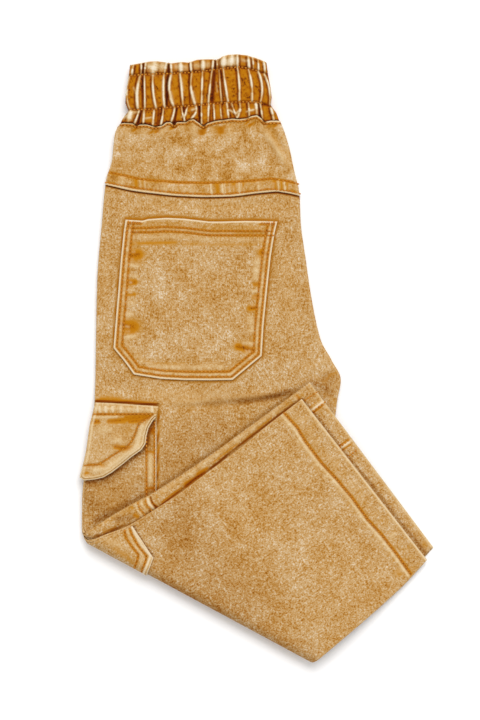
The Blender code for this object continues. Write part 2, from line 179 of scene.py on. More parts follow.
POCKET_STITCHES = (2.6, 6.8)     # insets of the two rows
POCKET_HEM_GAP = (0.0, -3.4)     # from the pocket hem's upper row of stitches to the lower
CARGO_STITCHES = ((-1.4, 0.0), (-8.0, 0.0))
CARGO_TOP = -50.0
CARGO_SIDE = {"left": -79.6, "right": -88.5}
CARGO_FOOT = -189.4
CARGO_CORNER = 13.0
CARGO_CORNER_WIDTH = 9.5
UNDER_FLAP_WIDTH = 0.82          # the flap underneath is this much narrower

# --- Waistband ---
BAND_TOP = from_photo((
    129.5, 66, 133, 64.4, 150, 61.4, 158, 61.2, 166, 62.4, 170, 63.6, 181, 61.8, 189, 62.6, 197, 59.6,
    206, 59.2, 213, 59.2, 217.5, 60.4, 222, 56.6, 228, 54.8, 237, 54.2, 247, 55.2, 253, 57.4, 260, 59.4,
    266.5, 62.4))
WAIST_SEAM = from_photo((
    118, 123.1, 123.8, 122.5, 133, 123.1, 136.4, 125.4, 139.8, 124.2, 146.7, 124.2, 154.8, 126.5, 161.7, 125.4,
    166.3, 122.1, 170.8, 121.9, 174.3, 125, 176.8, 122, 185.8, 121.9, 189.2, 119.6, 193.8, 119, 199.5, 123.1,
    203.6, 125.9, 207.6, 123.1, 215.6, 120.8, 224.8, 119.6, 231.7, 118.5, 239.7, 119, 245.5, 118.5,
    251.2, 116.2, 257, 115.2, 261.5, 118.5, 264.4, 121.9, 270.7, 120.8, 280.6, 120.8))
BAND_LEFT = from_photo((129.6, 66, 127.6, 80, 125.6, 92, 125.2, 101, 128.6, 109, 122.6, 117, 119.6, 123.1))
BAND_RIGHT = from_photo((266.5, 62.4, 268, 74, 270.6, 88, 271.8, 98, 270.6, 105, 276.4, 113, 279.4, 120.8))
ROW_HIGH = from_photo((
    128.5, 75.8, 144, 74.4, 167, 73.6, 189, 72.6, 207, 70.6, 219, 68.8, 231, 67.6, 240, 66.9, 248, 68.6,
    257, 70.8, 268, 74.6))
ROW_LOW = from_photo((
    128, 109.6, 144, 109.6, 156, 109, 168, 107.4, 189, 105.8, 201, 104.8, 213, 103.6, 225, 102.6, 240, 101.9,
    253, 101.9, 262, 103.4, 271, 106.6))
# Gathers in each channel: x at its top, middle and foot, half width, how pale
TOP_GATHERS = (
    (133.5, 132.6, 131.8, 1.1, 0.9), (141.6, 141.4, 141, 0.9, 0.9), (145.6, 145, 144.4, 0.9, 0.9),
    (155, 154, 152.5, 4, 0.75), (166.3, 165.5, 164.5, 1.2, 1), (170.8, 171.2, 172, 1.2, 0.9),
    (181.2, 181, 181.2, 2.2, 0.7), (190.4, 190.8, 191.5, 1.2, 0.9), (203, 203.2, 203.5, 2.2, 0.7),
    (213.3, 213, 212.7, 1.2, 0.9), (217.2, 217.2, 217.3, 0.7, 0.5), (224, 223.6, 223.2, 2.6, 0.75),
    (232.2, 231.6, 231, 2.2, 0.6), (237.4, 237.6, 238, 1.2, 1), (248.3, 248.8, 249.5, 1.5, 0.8),
    (252.9, 253.2, 253.5, 0.9, 0.8), (258, 258.4, 258.7, 0.9, 0.8), (264, 264.6, 265, 1.1, 0.9))
MIDDLE_GATHERS = (
    (129.6, 126.6, 129.8, 1.1, 0.9), (140.4, 137.2, 138.2, 1.6, 0.8), (144.4, 144.7, 145, 0.8, 0.9),
    (153, 153.2, 156.5, 1.1, 0.9), (164, 163.4, 164.5, 1.2, 1), (171.4, 169.1, 174, 1.5, 0.85),
    (180.2, 181.7, 183, 1.1, 0.9), (192, 191, 195.5, 1.3, 0.9), (202.5, 202, 201.3, 1, 1),
    (212.2, 210, 208.7, 1, 1), (219, 220.2, 221.4, 0.8, 0.5), (223.3, 225.4, 228.5, 1.2, 1),
    (237.4, 239.3, 239.7, 1.1, 1), (248.3, 251.8, 252.3, 1.1, 1), (258.7, 262.1, 260.4, 1.1, 0.9),
    (264.5, 269.4, 269.6, 1, 0.95))
LOW_GATHERS = (
    (139.4, 137.2, 134.7, 0.9, 1), (131, 130, 128, 2.6, 0.7), (144.4, 143.8, 143.3, 1.2, 0.7),
    (154.2, 153.5, 152.5, 1, 1), (163.4, 162.5, 161.1, 1, 1), (174.9, 173.5, 171.4, 1, 1),
    (181.4, 182.8, 184.6, 0.9, 0.9), (188, 185.5, 184.6, 0.9, 0.9), (196.1, 196, 190.8, 1, 0.9),
    (201.3, 201.5, 201.8, 0.9, 1), (208.7, 208.4, 208.2, 0.9, 1), (213.9, 214.2, 214.5, 0.8, 0.9),
    (220.2, 220.8, 221.4, 0.7, 0.5), (226.5, 227.7, 228.8, 1.1, 0.9), (239.7, 240, 237.4, 1.1, 0.9),
    (231.7, 234, 237, 0.8, 0.6), (248.3, 249, 249.5, 1, 0.8), (255.8, 256.5, 256.9, 1.5, 0.9),
    (260.4, 261.5, 262.7, 1, 0.9), (270.7, 272.5, 274.2, 1.3, 0.8))
GATHERS = {"top": TOP_GATHERS, "middle": MIDDLE_GATHERS, "low": LOW_GATHERS}
# Deep gaps between gathers, dyed and with painted shadow: channel, x at its top, middle and foot, half width,
# depth
DEEP_GAPS = (
    ("top", 143.4, 143.2, 143, 0.9, 1), ("top", 168.8, 168.6, 168.4, 1, 1),
    ("top", 189, 189.2, 189.6, 0.7, 0.9), ("top", 215.2, 215, 215, 0.8, 1),
    ("top", 219.6, 219.6, 219.8, 1.2, 0.7), ("top", 239.6, 239.8, 240, 0.8, 0.5),
    ("middle", 168.3, 167.2, 166.4, 1.2, 1), ("middle", 214.6, 213.2, 212, 1.5, 0.8),
    ("middle", 142.6, 142.2, 142.6, 0.8, 0.5), ("middle", 189.4, 189.4, 189.8, 0.8, 0.6),
    ("low", 141.4, 139.6, 137.4, 1, 1), ("low", 177, 175.6, 174, 1, 0.8), ("low", 198.8, 199.4, 200.2, 1, 0.8),
    ("low", 158.8, 158.2, 157.2, 1.2, 0.5), ("low", 258.6, 259.2, 259.8, 0.7, 0.6))
# Puffs of the top channel, and webs of wash between the other gathers: width, how pale, line
BAND_PUFFS = (
    (5, 0.55, 149, 66, 157, 66, 163, 66.6), (3.4, 0.35, 177, 67, 186, 67.4), (3.6, 0.4, 196, 66, 208, 64.6),
    (5, 0.6, 222.6, 62.6, 230, 60, 236, 59), (2.4, 0.4, 226, 64, 235, 63.6), (2, 0.4, 243, 60, 247, 61),
    (1.8, 0.5, 134, 112.4, 139, 112), (3, 0.5, 124.6, 117, 130, 114.6), (1.2, 0.45, 145, 118.6, 151, 117.6),
    (1.4, 0.5, 182, 117, 186, 114), (1.4, 0.5, 192, 110, 196, 108.6),
    (1.3, 0.6, 229, 110, 236, 113.6, 240, 110), (1.3, 0.6, 247, 111.6, 253.6, 109.8),
    (0.9, 0.3, 216, 82, 217.4, 92), (1.6, 0.55, 192.6, 92, 195, 102), (1.5, 0.6, 170.4, 92, 173, 103),
    (1.4, 0.45, 134, 88, 137, 98), (1.6, 0.4, 181, 78, 182.6, 90))
BAND_HIGH = {"left": 10.9, "right": 0.7}    # the band's two faces; its two hidden runs lie between
BAND_RUNS = (6.7, 4.3)
BAND_WALL = 1.7
BAND_COLUMNS = {"left": 250, "hidden": 14, "right": 120}
BAND_ROWS = 96

# --- Seams on the upper part ---
YOKE_EDGE = from_photo((
    102, 183.6, 110, 185.6, 133, 190.8, 156, 193.7, 178.9, 196, 207.6, 197.1, 230.5, 196.5, 259.2, 193.1,
    276.5, 191.6, 290, 193.6, 303, 196.6))
YOKE_HIGH = from_photo((
    104, 171.2, 110, 172.4, 127.2, 175.9, 138.7, 178.7, 155.9, 180.5, 178.9, 182.2, 207.6, 182.8, 236.3, 181.6,
    259.2, 179.9, 270.7, 178.4, 287.9, 181, 300, 184))
YOKE_LOW = from_photo((
    104, 182, 110, 183.3, 133, 187.3, 155.9, 190.2, 178.9, 193.1, 207.6, 194.2, 230.5, 193.7, 253.5, 190.8,
    270.7, 189.1, 289.1, 190.9, 301.5, 193.8))
# Puckers in the yoke's felled band: x in the photograph, half width, mustard or pale strength
YOKE_DYED = (
    (136, 2.4, 0.9), (142.6, 1.5, 0.6), (179, 1.2, 0.5), (217.4, 2.6, 0.9), (226.4, 0.8, 0.5), (234, 2.8, 0.8),
    (243.4, 1.6, 0.7), (274.6, 2.6, 0.9), (281.6, 1.6, 0.8), (287.4, 1.8, 0.7), (252, 1, 0.3), (118, 1.4, 0.3))
YOKE_PALE = (
    (140, 1, 0.6), (144.8, 0.8, 0.7), (211, 1.1, 0.9), (222.6, 1, 0.8), (225, 0.7, 0.7), (239.2, 1.2, 0.7),
    (278.4, 0.7, 0.8), (284.6, 0.7, 0.8), (164, 3, 0.3), (192, 2, 0.3), (260, 3, 0.4), (122, 4, 0.3))
# Where the waist seam is pinched: x in the photograph, depth
YOKE_PINCHES = ((136.4, 0.9), (156, 0.8), (174.4, 0.9), (188.2, 0.4), (204.2, 1), (223.6, 0.3), (247.4, 0.4),
                (264.4, 0.9))
# Mustard gathers under the waist seam: x, y in the photograph, reach, width, strength
YOKE_GATHERS = (
    (122, 126.5, 1, 1.8, 0.5), (134.6, 129.4, 1.6, 2.2, 0.85), (139, 128.4, 0.8, 1.6, 0.5),
    (151.6, 131.6, 1.4, 2.8, 0.7), (157, 130.8, 2, 2.6, 0.8), (160.4, 130, 1, 2, 0.5),
    (172.6, 127.2, 2, 2.6, 0.85), (201.6, 131.4, 4.4, 2.8, 0.85), (204.8, 129.6, 2, 1.8, 0.6),
    (215.8, 127.4, 3, 2.2, 0.5), (220.6, 129.4, 6, 3, 0.8), (224.6, 126.4, 3, 1.8, 0.6),
    (247, 122.6, 1.2, 2.2, 0.7), (250.6, 124.4, 1.6, 2.6, 0.85), (253.4, 122.6, 1, 1.6, 0.6),
    (269, 125.4, 2, 2.6, 0.6), (274.6, 125, 2.4, 2.6, 0.75), (188, 125.4, 1.4, 1.3, 0.35),
    (236, 123.4, 1.4, 1.8, 0.3), (230, 125, 1.4, 1.6, 0.35))

# --- Folds, puckers and worn places: width, height, wash (less than 0 is dye), line ---
YOKE_FOLDS = (
    (3, 0.7, 0.35, 163, 124, 161, 142), (3.6, 0.9, 0.4, 193, 121, 194.6, 140),
    (2.6, -0.6, -0.25, 199.6, 128, 201, 142), (3, 0.5, 0.3, 146, 127, 143, 140),
    (3.4, 0.6, 0.3, 228, 122, 231, 141), (3, 0.5, 0.3, 181, 124, 182, 134),
    (3.8, 1.1, 0.45, 259, 118, 266, 133, 276, 148, 285, 163, 289, 177),
    (3.4, -0.7, -0.28, 265.5, 124, 272, 134, 281, 146, 290, 160), (3, 0.4, 0.3, 127, 126, 125, 138),
    (2.2, 0.4, 0.25, 212, 126, 213, 140))
BODY_FOLDS = (
    # the soft crease across the leg, darker below
    (3.4, 0.8, 0.3, 158, 403.6, 214, 400.5, 240, 397.6, 268, 395, 290, 390.5),
    (3.4, -0.7, -0.12, 165, 408.5, 214, 406, 240, 403, 266, 399.6, 289, 395),
    (1.6, -0.6, -0.2, 246, 402.5, 264, 399.6, 280, 397, 291, 393.6),
    # creases by the crotch
    (1.4, -0.5, -0.4, 322, 384, 331, 374, 340, 371), (1.8, 0.5, 0.25, 318, 377, 328, 369, 337, 366.5),
    (1.8, 0.5, 0.3, 327, 392, 334, 386, 340, 382), (3.6, 0.5, 0.15, 300, 372, 318, 365, 334, 357),
    (3, -0.4, -0.15, 296, 384, 312, 378, 326, 374), (1.8, -0.3, -0.3, 329, 398, 334, 400, 336, 408),
    # the hollow under the yoke seam and gentle swells beside the pocket
    (4.2, -0.35, -0.1, 120, 200, 180, 206, 240, 206, 296, 203), (5, 0.3, 0.1, 108, 240, 104, 300, 101, 360),
    (7, 0.4, 0.1, 286, 250, 287, 300, 292, 340), (5, 0.4, 0.2, 120, 392, 160, 396, 210, 394, 250, 388))
STRIP_FOLDS = (
    (0.7, -0.25, -0.9, 137.6, 501.6, 138.8, 507, 146, 516),
    (0.7, -0.25, -0.9, 145.6, 499, 146.6, 505, 153, 511.6), (1.2, 0.2, 0.5, 141.6, 500, 143, 506, 150, 514),
    (0.7, 0.2, 0.7, 135.4, 503, 136.6, 508.4, 143.6, 517.6),
    (1.5, 0.5, 1, 147.6, 497.4, 148.8, 502.6, 155, 510.6),
    (1.1, -0.3, -1, 150.4, 496.6, 152.4, 502.6, 158, 508.6), (2.4, -0.3, -0.6, 133.6, 514, 139, 517),
    (2, -0.3, -0.7, 153, 505, 158, 507), (2.6, -0.2, -0.75, 184, 484.5, 192.6, 480),
    (1.8, -0.3, -0.75, 197, 474, 208, 467.6), (0.9, -0.3, -0.7, 161, 502.4, 171, 494.6, 182, 487),
    (0.9, -0.3, -0.6, 213, 462, 226, 452.4, 238, 443), (1, -0.3, -0.6, 244, 440, 258, 428.6, 272, 417),
    (1.6, -0.2, -0.5, 104, 531.6, 117, 527.4),
    (1.6, 0.25, 0.3, 160, 493.6, 186, 476, 214, 456, 250, 430, 286, 403),
    # the seams that cross the under leg's hem
    (1.3, 0.4, 1, 325.2, 400, 310.8, 410.8), (1, -0.3, -1, 327, 402.2, 312.8, 412.8),
    (0.6, -0.2, -0.7, 318, 391.4, 304, 401), (0.6, -0.2, -0.5, 323, 397.6, 308.6, 408.2),
    (2, -0.2, -0.9, 296, 395.6, 299, 399.6), (1.3, 0.4, 1, 350.8, 440.8, 339.8, 448.6),
    (0.8, -0.3, -1, 349.4, 438.6, 338.4, 446.4), (0.8, -0.3, -0.9, 352.2, 443, 341.2, 451),
    (0.6, -0.2, -0.7, 357, 450, 345.6, 458.6))
POCKET_FOLDS = (
    # bar tacks
    (1.3, 0.1, -1, 127.6, 222.3, 141, 223), (1.3, 0.1, -1, 260.6, 223.6, 275, 223.6),
    (1.3, 0.1, -0.8, 128.4, 224, 128, 232), (1.3, 0.1, -0.8, 268.4, 230, 267.6, 240),
    # worn and dyed places inside the stitches
    (4.2, -0.5, -0.85, 131, 255, 137.6, 254.6), (2.2, -0.35, -0.75, 129.6, 282.4, 134.6, 282),
    (1.4, -0.3, -0.55, 129, 294.4, 134.6, 294.2), (4.6, -0.4, -0.75, 120.6, 325, 133, 326.4),
    (1.8, -0.3, -0.6, 124, 331, 133, 332), (3, -0.4, -0.75, 262.4, 252.6, 266, 255),
    (1.5, -0.3, -0.7, 254.8, 284.2, 259.4, 283.4), (1.5, -0.3, -0.7, 254, 297, 259, 296.4),
    (2, -0.35, -0.75, 250, 308.4, 256.4, 307.6), (2.6, -0.5, -0.9, 238, 346.6, 254.4, 350.6),
    (2, 0, -0.6, 258, 350, 259, 354), (2.2, 0.45, 0.6, 129, 265, 138, 266),
    (1.6, 0.4, 0.5, 128.6, 276, 136.4, 276.6), (1.6, 0.35, 0.5, 127, 289.6, 134, 289.8),
    (2.4, 0.3, 0.45, 126.6, 302.4, 133, 303.2), (2, 0.3, 0.5, 126.4, 314.4, 131.8, 314.8),
    (2.4, 0.45, 0.6, 125.4, 337.6, 134.6, 336.6), (4, 0.35, 0.5, 257, 261, 255.6, 277),
    (1.8, 0.3, 0.5, 253, 291, 259, 290.6), (3.4, 0.3, 0.45, 250, 319, 252.6, 330),
    (1.8, 0.45, 0.6, 244, 342.6, 253, 343.8), (1.9, -0.2, -0.45, 132, 243.4, 152, 243, 175, 242.4),
    (1.9, -0.1, -0.25, 184, 243.6, 210, 244.4, 255, 244.4),
    (1.9, 0.25, 0.4, 134, 237.6, 180, 236.6, 205, 239.4, 262, 240),
    (2.6, 0.25, 0.45, 150, 366, 185, 367.4, 221, 366), (1.4, -0.1, -0.2, 144, 361, 160, 363.4, 185, 363.6),
    (2, 0.2, 0.3, 128, 344, 136, 352, 142, 360))
CARGO_FOLDS = (
    (1.6, -0.3, -0.8, 147, 452, 153.6, 452.4), (2.6, -0.3, -0.7, 147, 490, 154, 488),
    (2.6, -0.3, -0.8, 150, 427, 153.6, 432), (2, 0.1, -0.4, 149.6, 447, 150, 424),
    (2.6, 0.3, 0.55, 150.4, 456, 150.2, 482), (7, -0.3, -0.12, 98, 486, 112, 500, 122, 512),
    (7, 0.4, 0.1, 140, 470, 128, 490, 112, 505))
TURNED_CARGO_FOLDS = (
    (1.3, 0.25, 1, 132.4, 526, 135.4, 533.6, 142.2, 544.8, 150.8, 555.2, 147.8, 563.6, 143.4, 574),
    (1.1, 0.25, 0.5, 127.4, 529, 130, 537.6, 136, 546.6, 143, 555, 141.6, 561, 138, 571),
    (2.2, -0.2, -0.4, 116, 548, 128, 556, 134, 562), (4, 0.2, 0.3, 108, 540, 120, 545))
FLAP_FOLDS = (
    (2.8, -0.4, -0.86, 107, 421.6, 122, 420, 138, 418.2, 151, 416.6),
    (2.4, -0.2, -0.84, 124, 417.6, 138, 416.6, 151, 415.6),
    (2.8, -0.2, -0.86, 128, 421.4, 138, 420.6, 146, 418.6), (1.6, -0.1, -0.6, 108, 423, 126, 422.2),
    (2.6, -0.3, -0.95, 92, 422, 100, 421.4), (1.1, 0.2, 0.5, 93, 417.4, 118, 416.8),
    (3, -0.4, -0.9, 114, 446, 120, 447.6, 127, 448.4, 133, 448), (2.2, -0.3, -0.7, 100, 464, 104.6, 467.6),
    (1.6, -0.2, -0.7, 82.6, 473.6, 89, 472.4), (1.8, -0.2, -0.6, 84, 465, 96, 464.4),
    (4, 0.5, 0.4, 112, 441, 122, 439.6), (5, 0.3, 0.3, 98, 430, 112, 428.6), (4, 0, -0.2, 124, 432, 131, 428),
    (3, 0.7, 0.5, 143, 424, 139.6, 436, 137, 446, 128, 453.6, 116, 461.6, 106, 468.4, 92, 471),
    (2.6, 0.35, 0.45, 94, 408.6, 124, 409, 154, 410))
# Painted shade where cloth meets or shelters cloth: width, shade, line
BODY_SHADES = (
    (24, 0.065, 110, 480, 150, 470, 200, 440, 250, 412), (4.4, 0.14, 190, 404, 240, 400, 268, 397, 296, 391),
    (3, 0.26, 228, 403, 262, 399, 280, 395.4, 297, 390), (2.2, 0.3, 256, 399, 276, 395.6, 298, 388),
    (3, 0.16, 296, 391, 312, 381, 330, 392, 338, 400), (9, 0.1, 318, 372, 328, 380, 336, 392))
TURNED_SHADES = ((30, 0.08, 176, 520, 196, 570, 240, 604), (9, 0.1, 130, 566, 180, 592, 250, 630, 310, 656))
# The strip under the edge of the turned-up leg, with painted shade: first and last point, width, dye, shade
STRIP_EDGES = (
    (0, 4, 2, 0.2, 0.3), (6, 8, 2.2, 0.5, 0.4), (7, 10, 1, 0.8, 0.1), (9, 12, 1.6, 0.9, 0.16),
    (11, 14, 1, 0.6, 0.4), (13, 16, 0.8, 0.6, 0.3))
# Puckers along the flap's top: x in the photograph, strength
FLAP_DYED = (
    (97, 0.8), (102.4, 0.6), (109, 0.7), (116.4, 0.7), (126, 0.5), (131.6, 0.8), (144.4, 0.9), (149, 0.4))
FLAP_PALE = ((99.6, 0.7), (105.6, 0.8), (112.6, 0.7), (121, 0.6), (137.6, 0.6), (152, 0.8))

# --- The turned-up part ---
HEM_STITCH = on_right((
    281, 409.6, 283.7, 412.8, 296.8, 427.4, 306, 442.7, 321, 462.6, 336.6, 479.4, 351.9, 497.8, 367.2, 519.3,
    382.5, 536, 397.8, 556, 410.8, 574.4))
CARGO_STITCH_NEAR = on_right((129.6, 527.3, 133.1, 535.7, 138.8, 545.6, 146.9, 555.4, 145.8, 561, 140.9, 573.6))
CARGO_STITCH_FAR = on_right((124.7, 528.7, 126.1, 537.1, 133.1, 547, 138.8, 554, 137.3, 561, 134.5, 568))

# --- Stitching ---
STITCH_PITCH = 3.1
STITCH_SHARE = 0.78      # of the pitch that a stitch covers
STITCH_SIZE = (0.74, 0.5)
STITCH_LIFT = 0.15       # its middle's height above the cloth's face
OFF_BED = 1.2            # a stitch is left out past this squared distance from its bed
BAND_PITCH, HEM_PITCH, STRIP_PITCH, TACK_PITCH = 2.9, 2.6, 2.8, 1.9
BAR_TACKS = (
    (127, 222, 141, 222.6), (127, 223.4, 141, 224), (261, 223, 275.4, 223.2), (261, 224.4, 275.4, 224.6))
STRIP_STITCHES = (
    (137.6, 501.6, 138.8, 507, 146, 516), (145.6, 499, 146.6, 505, 153, 511.6), (326, 401.2, 311.6, 412),
    (318, 391.4, 304, 401), (349.6, 439.4, 338.6, 448.4), (357, 450, 345.6, 458.6))
BELOW_WAIST = (0.0, -2.6 * PHOTO_MM)   # from the waist seam to the yoke's first row of stitches


# === Plan and fold ===============================================
def ease(value, low, high):
    part = np.clip((value - low) / (high - low), 0.0, 1.0)
    return part * part * (3.0 - 2.0 * part)


def hump(value, middle, width):
    return np.exp(-((value - middle) / width) ** 2)


def soft_curve(value, table):
    """A smooth curve through a table of (at, value) whose at rises, with no overshoot."""
    at, height = np.array(table, float).T
    step = np.diff(at)
    slope = np.diff(height) / step
    bend = np.zeros(len(at))
    bend[0], bend[-1] = slope[0], slope[-1]
    same = slope[:-1] * slope[1:] > 0.0
    bend[1:-1][same] = 2.0 * slope[:-1][same] * slope[1:][same] / (slope[:-1] + slope[1:])[same]
    value = np.asarray(value, float)
    left = np.clip(np.searchsorted(at, value) - 1, 0, len(at) - 2)
    size = step[left]
    t = (value - at[left]) / size
    rise = t * t * (3.0 - 2.0 * t)
    between = (height[left] * (1.0 - rise) + height[left + 1] * rise
               + size * (bend[left] * t * (1.0 - t) ** 2 - bend[left + 1] * t * t * (1.0 - t)))
    between = np.where(t < 0.0, height[left] + bend[0] * t * size, between)
    return np.where(t > 1.0, height[left + 1] + bend[-1] * (t - 1.0) * size, between)


OUTSEAM_CURVE = {leg: [(row[0], row[column]) for row in reversed(OUTSEAM)]
                 for leg, column in (("left", 1), ("right", 2))}
INSEAM_CURVE = list(reversed(INSEAM))


def outseam_x(leg, y):
    return soft_curve(y, OUTSEAM_CURVE[leg])


def inseam_x(y):
    return soft_curve(y, INSEAM_CURVE)


def past_fold(x, y):
    return (x - FOLD_POINT[0]) * OUT[0] + (y - FOLD_POINT[1]) * OUT[1]


def settle(x, y):
    """How far the turned-up part sinks on to what is under it."""
    sink = FOLD_SINK * ease(-past_fold(x, y), *FOLD_SINK_SPAN)
    reach = np.clip((x - inseam_x(y)) / OFF_BODY, 0.0, 1.0)
    return sink + BODY_HEIGHT * (1.0 - np.cos(np.pi * reach)) / 2.0


def place(leg, x, y, height):
    """Plan points at heights, taken round the fold, in metres."""
    radius = LEG_RADIUS[leg]
    past = np.maximum(past_fold(x, y), 0.0)
    angle = np.minimum(past / radius, np.pi)
    beyond = past - radius * angle
    reach = FOLD_HEIGHT - height
    shift = np.where(past > 0.0, reach * np.sin(angle) - beyond - past, 0.0)
    flat_x = x + OUT[0] * shift
    flat_y = y + OUT[1] * shift
    z = np.where(past > 0.0, FOLD_HEIGHT - reach * np.cos(angle), height)
    z = np.maximum(z - np.where(beyond > 0.0, settle(flat_x, flat_y), 0.0), ON_FLOOR)
    return np.stack([flat_x - CENTRE[0], flat_y - CENTRE[1], z], -1) * MM


# === Lines =======================================================
def unit(steps):
    return steps / np.hypot(*steps.T)[:, None]


def lengths(line):
    """How far along a line each of its points is."""
    return np.concatenate([[0.0], np.cumsum(np.hypot(*np.diff(line, axis=0).T))])


def along(line, at):
    """Points at distances along a line."""
    done = lengths(line)
    return np.stack([np.interp(at, done, line[:, 0]), np.interp(at, done, line[:, 1])], -1)


def drawn(line, step):
    """Points evenly spaced along a line."""
    line = np.array(line, float)
    size = lengths(line)[-1]
    return along(line, np.linspace(0.0, size, max(2, int(round(size / step)) + 1)))


def level(line, x):
    return np.interp(x, line[:, 0], line[:, 1])


def moved(line, distance):
    """A line drawn again at a distance to its left."""
    line = np.array(line, float)
    step = unit(np.gradient(line, axis=0))
    return line + np.stack([-step[:, 1], step[:, 0]], 1) * distance


def corner_free(line, distance):
    """A line round an outline at an inset, its corners mitred: points of the outline, each moved inwards."""
    line = np.array(line, float)
    step = unit(np.diff(line, axis=0))
    side = np.stack([-step[:, 1], step[:, 0]], 1)
    normal = unit(np.concatenate([side[:1], side[:-1] + side[1:], side[-1:]]))
    around = np.concatenate([side[:1], side])
    normal /= (normal * around).sum(1)[:, None]
    return line + normal * distance


def near(line, x, y):
    """Distance to a line, share of its length at the nearest point, and side: 1 on its left."""
    best = np.full(np.shape(x), 1e9)
    share = np.zeros(np.shape(x))
    side = np.ones(np.shape(x))
    sizes = np.hypot(*np.diff(line, axis=0).T)
    done = 0.0
    for start, step, size in zip(line, np.diff(line, axis=0), sizes):
        t = np.clip(((x - start[0]) * step[0] + (y - start[1]) * step[1]) / (size * size), 0.0, 1.0)
        off_x = x - start[0] - t * step[0]
        off_y = y - start[1] - t * step[1]
        away = np.hypot(off_x, off_y)
        closer = away < best
        best = np.where(closer, away, best)
        share = np.where(closer, (done + t * size) / sizes.sum(), share)
        side = np.where(closer, np.sign(step[0] * off_y - step[1] * off_x), side)
        done += size
    return best, share, side


def distance_to(line, x, y):
    return near(line, x, y)[0]


def inside(outline, x, y):
    """Whether plan points are inside a closed outline."""
    odd = np.zeros(np.shape(x), bool)
    for (ax, ay), (bx, by) in zip(outline, np.roll(outline, -1, 0)):
        if ay != by:
            odd ^= ((y < ay) != (y < by)) & (x < ax + (y - ay) * (bx - ax) / (by - ay))
    return odd


# === Marks =======================================================
Mark = namedtuple("Mark", "line width height pale dye fade shade")


def mark(line, width, height=0.0, pale=0.0, dye=0.0, fade=0.15, shade=0.0):
    """A ridge or trough along a line, in millimetres: pale where it rubs, dyed where it hides, with painted
    shade where given.
    """
    return Mark(np.array(line, float), width, height, pale, dye, fade, shade)


def painted_shadow_line(line, width, shade, fade=0.0):
    """Painted shadow where two cloths meet or one shelters another."""
    return mark(line, width, fade=fade, shade=shade)


def placed(rows, where, fade):
    """Marks listed in a table: where() takes the photograph's lines to the plan."""
    return [mark(where(line), width * PHOTO_MM, height, max(wash, 0.0), max(-wash, 0.0), fade)
            for width, height, wash, *line in rows]


def seam_stitch(line, dye=0.75, width=0.75, depth=0.3):
    """The groove that a row of stitches pulls into the cloth, with painted shade along it."""
    return [mark(line, width * 1.55, -depth, dye=dye * 1.15, fade=0.0), painted_shadow_line(line, width * 0.75, 0.12)]


def puckers(line, low, high, spacing, seed, height=0.25, dye=0.5, pale=0.4, lean=0.25):
    """Short uneven puckers across a seam, from low to high to its left."""
    rng = random.Random(seed)
    marks = []
    points = drawn(line, 0.5)
    steps = unit(np.gradient(points, axis=0))
    at = rng.uniform(0.0, spacing)
    while at < (len(points) - 1) * 0.5:
        index = int(at / 0.5)
        step = steps[index]
        side = np.array((-step[1], step[0]))
        tilt = rng.uniform(-lean, lean)
        reach = rng.uniform(0.55, 1.0)
        start = points[index] + side * low
        end = points[index] + (side + step * tilt) * (low + (high - low) * reach)
        size = rng.uniform(0.5, 1.1)
        if rng.random() < 0.5:
            marks.append(mark((start, end), rng.uniform(0.6, 1.3), height * size, pale * size, fade=0.3))
        else:
            marks.append(mark((start, end), rng.uniform(0.6, 1.5), -height * size, dye=dye * size, fade=0.3))
        at += spacing * rng.uniform(0.5, 1.6)
    return marks


def similar(marks, seed, share=0.6):
    """Marks like these for the side that the photograph hides: a little moved, and pressed."""
    rng = random.Random(seed)
    return [item._replace(line=item.line + (rng.uniform(-1.5, 1.5), rng.uniform(-1.5, 1.5)),
                          height=item.height * share * rng.uniform(0.6, 1.2),
                          pale=item.pale * rng.uniform(0.6, 1.0), dye=item.dye * rng.uniform(0.6, 1.0))
            for item in marks]


def screen(under, over):
    return 1.0 - (1.0 - under) * (1.0 - over)


def marked(marks, x, y):
    """Height, pale wash, dye and painted shade of a set of marks at plan points."""
    height, pale, dye, shade = (np.zeros(x.shape) for _ in range(4))
    for item in marks:
        reach = 2.6 * item.width
        low = item.line.min(0) - reach
        high = item.line.max(0) + reach
        hit = (x > low[0]) & (x < high[0]) & (y > low[1]) & (y < high[1])
        if not hit.any():
            continue
        away, share, _ = near(item.line, x[hit], y[hit])
        strength = hump(away, 0.0, item.width)
        if item.fade > 0.0:
            strength = strength * ease(np.minimum(share, 1.0 - share) + 0.02, 0.0, item.fade)
        height[hit] += item.height * strength
        pale[hit] = screen(pale[hit], item.pale * strength)
        dye[hit] = np.maximum(dye[hit], item.dye * strength)
        shade[hit] = screen(shade[hit], item.shade * strength)
    return height, pale, dye, shade


def waves(x, y, length, seed):
    """A gentle uneven swell, about -1 to 1."""
    rng = random.Random(seed)
    total = np.zeros(np.shape(x))
    for _ in range(9):
        turn = rng.uniform(0.0, math.pi)
        size = length * rng.uniform(0.7, 1.6)
        shift = rng.uniform(0.0, 2.0 * math.pi)
        total = total + np.sin((x * math.cos(turn) + y * math.sin(turn)) * 2.0 * math.pi / size + shift)
    return total / 4.0


# === Layers ======================================================
POCKET_OUTLINE = np.concatenate([POCKET_TOP, POCKET_RIGHT[1:], POCKET_FOOT[::-1][1:], POCKET_LEFT[::-1][1:-1]])
POCKET_SIDES = np.concatenate([POCKET_LEFT, POCKET_FOOT[1:], POCKET_RIGHT[::-1][1:]])


def cover(x, y):
    """1 where a pocket lies beneath or on the layers, 0 where they sink to the surface."""
    away = distance_to(np.concatenate([POCKET_OUTLINE, POCKET_OUTLINE[:1]]), x, y)
    pocket = np.where(inside(POCKET_OUTLINE, x, y), 1.0, 1.0 - ease(away, 1.0, POCKET_SLOPE))
    beside, above = CARGO_SLOPE
    cargo = (1.0 - ease(x, *beside)) * ease(-y, *above)
    return np.maximum(np.maximum(pocket, cargo), ease(past_fold(x, y), *BEND_SLOPE))


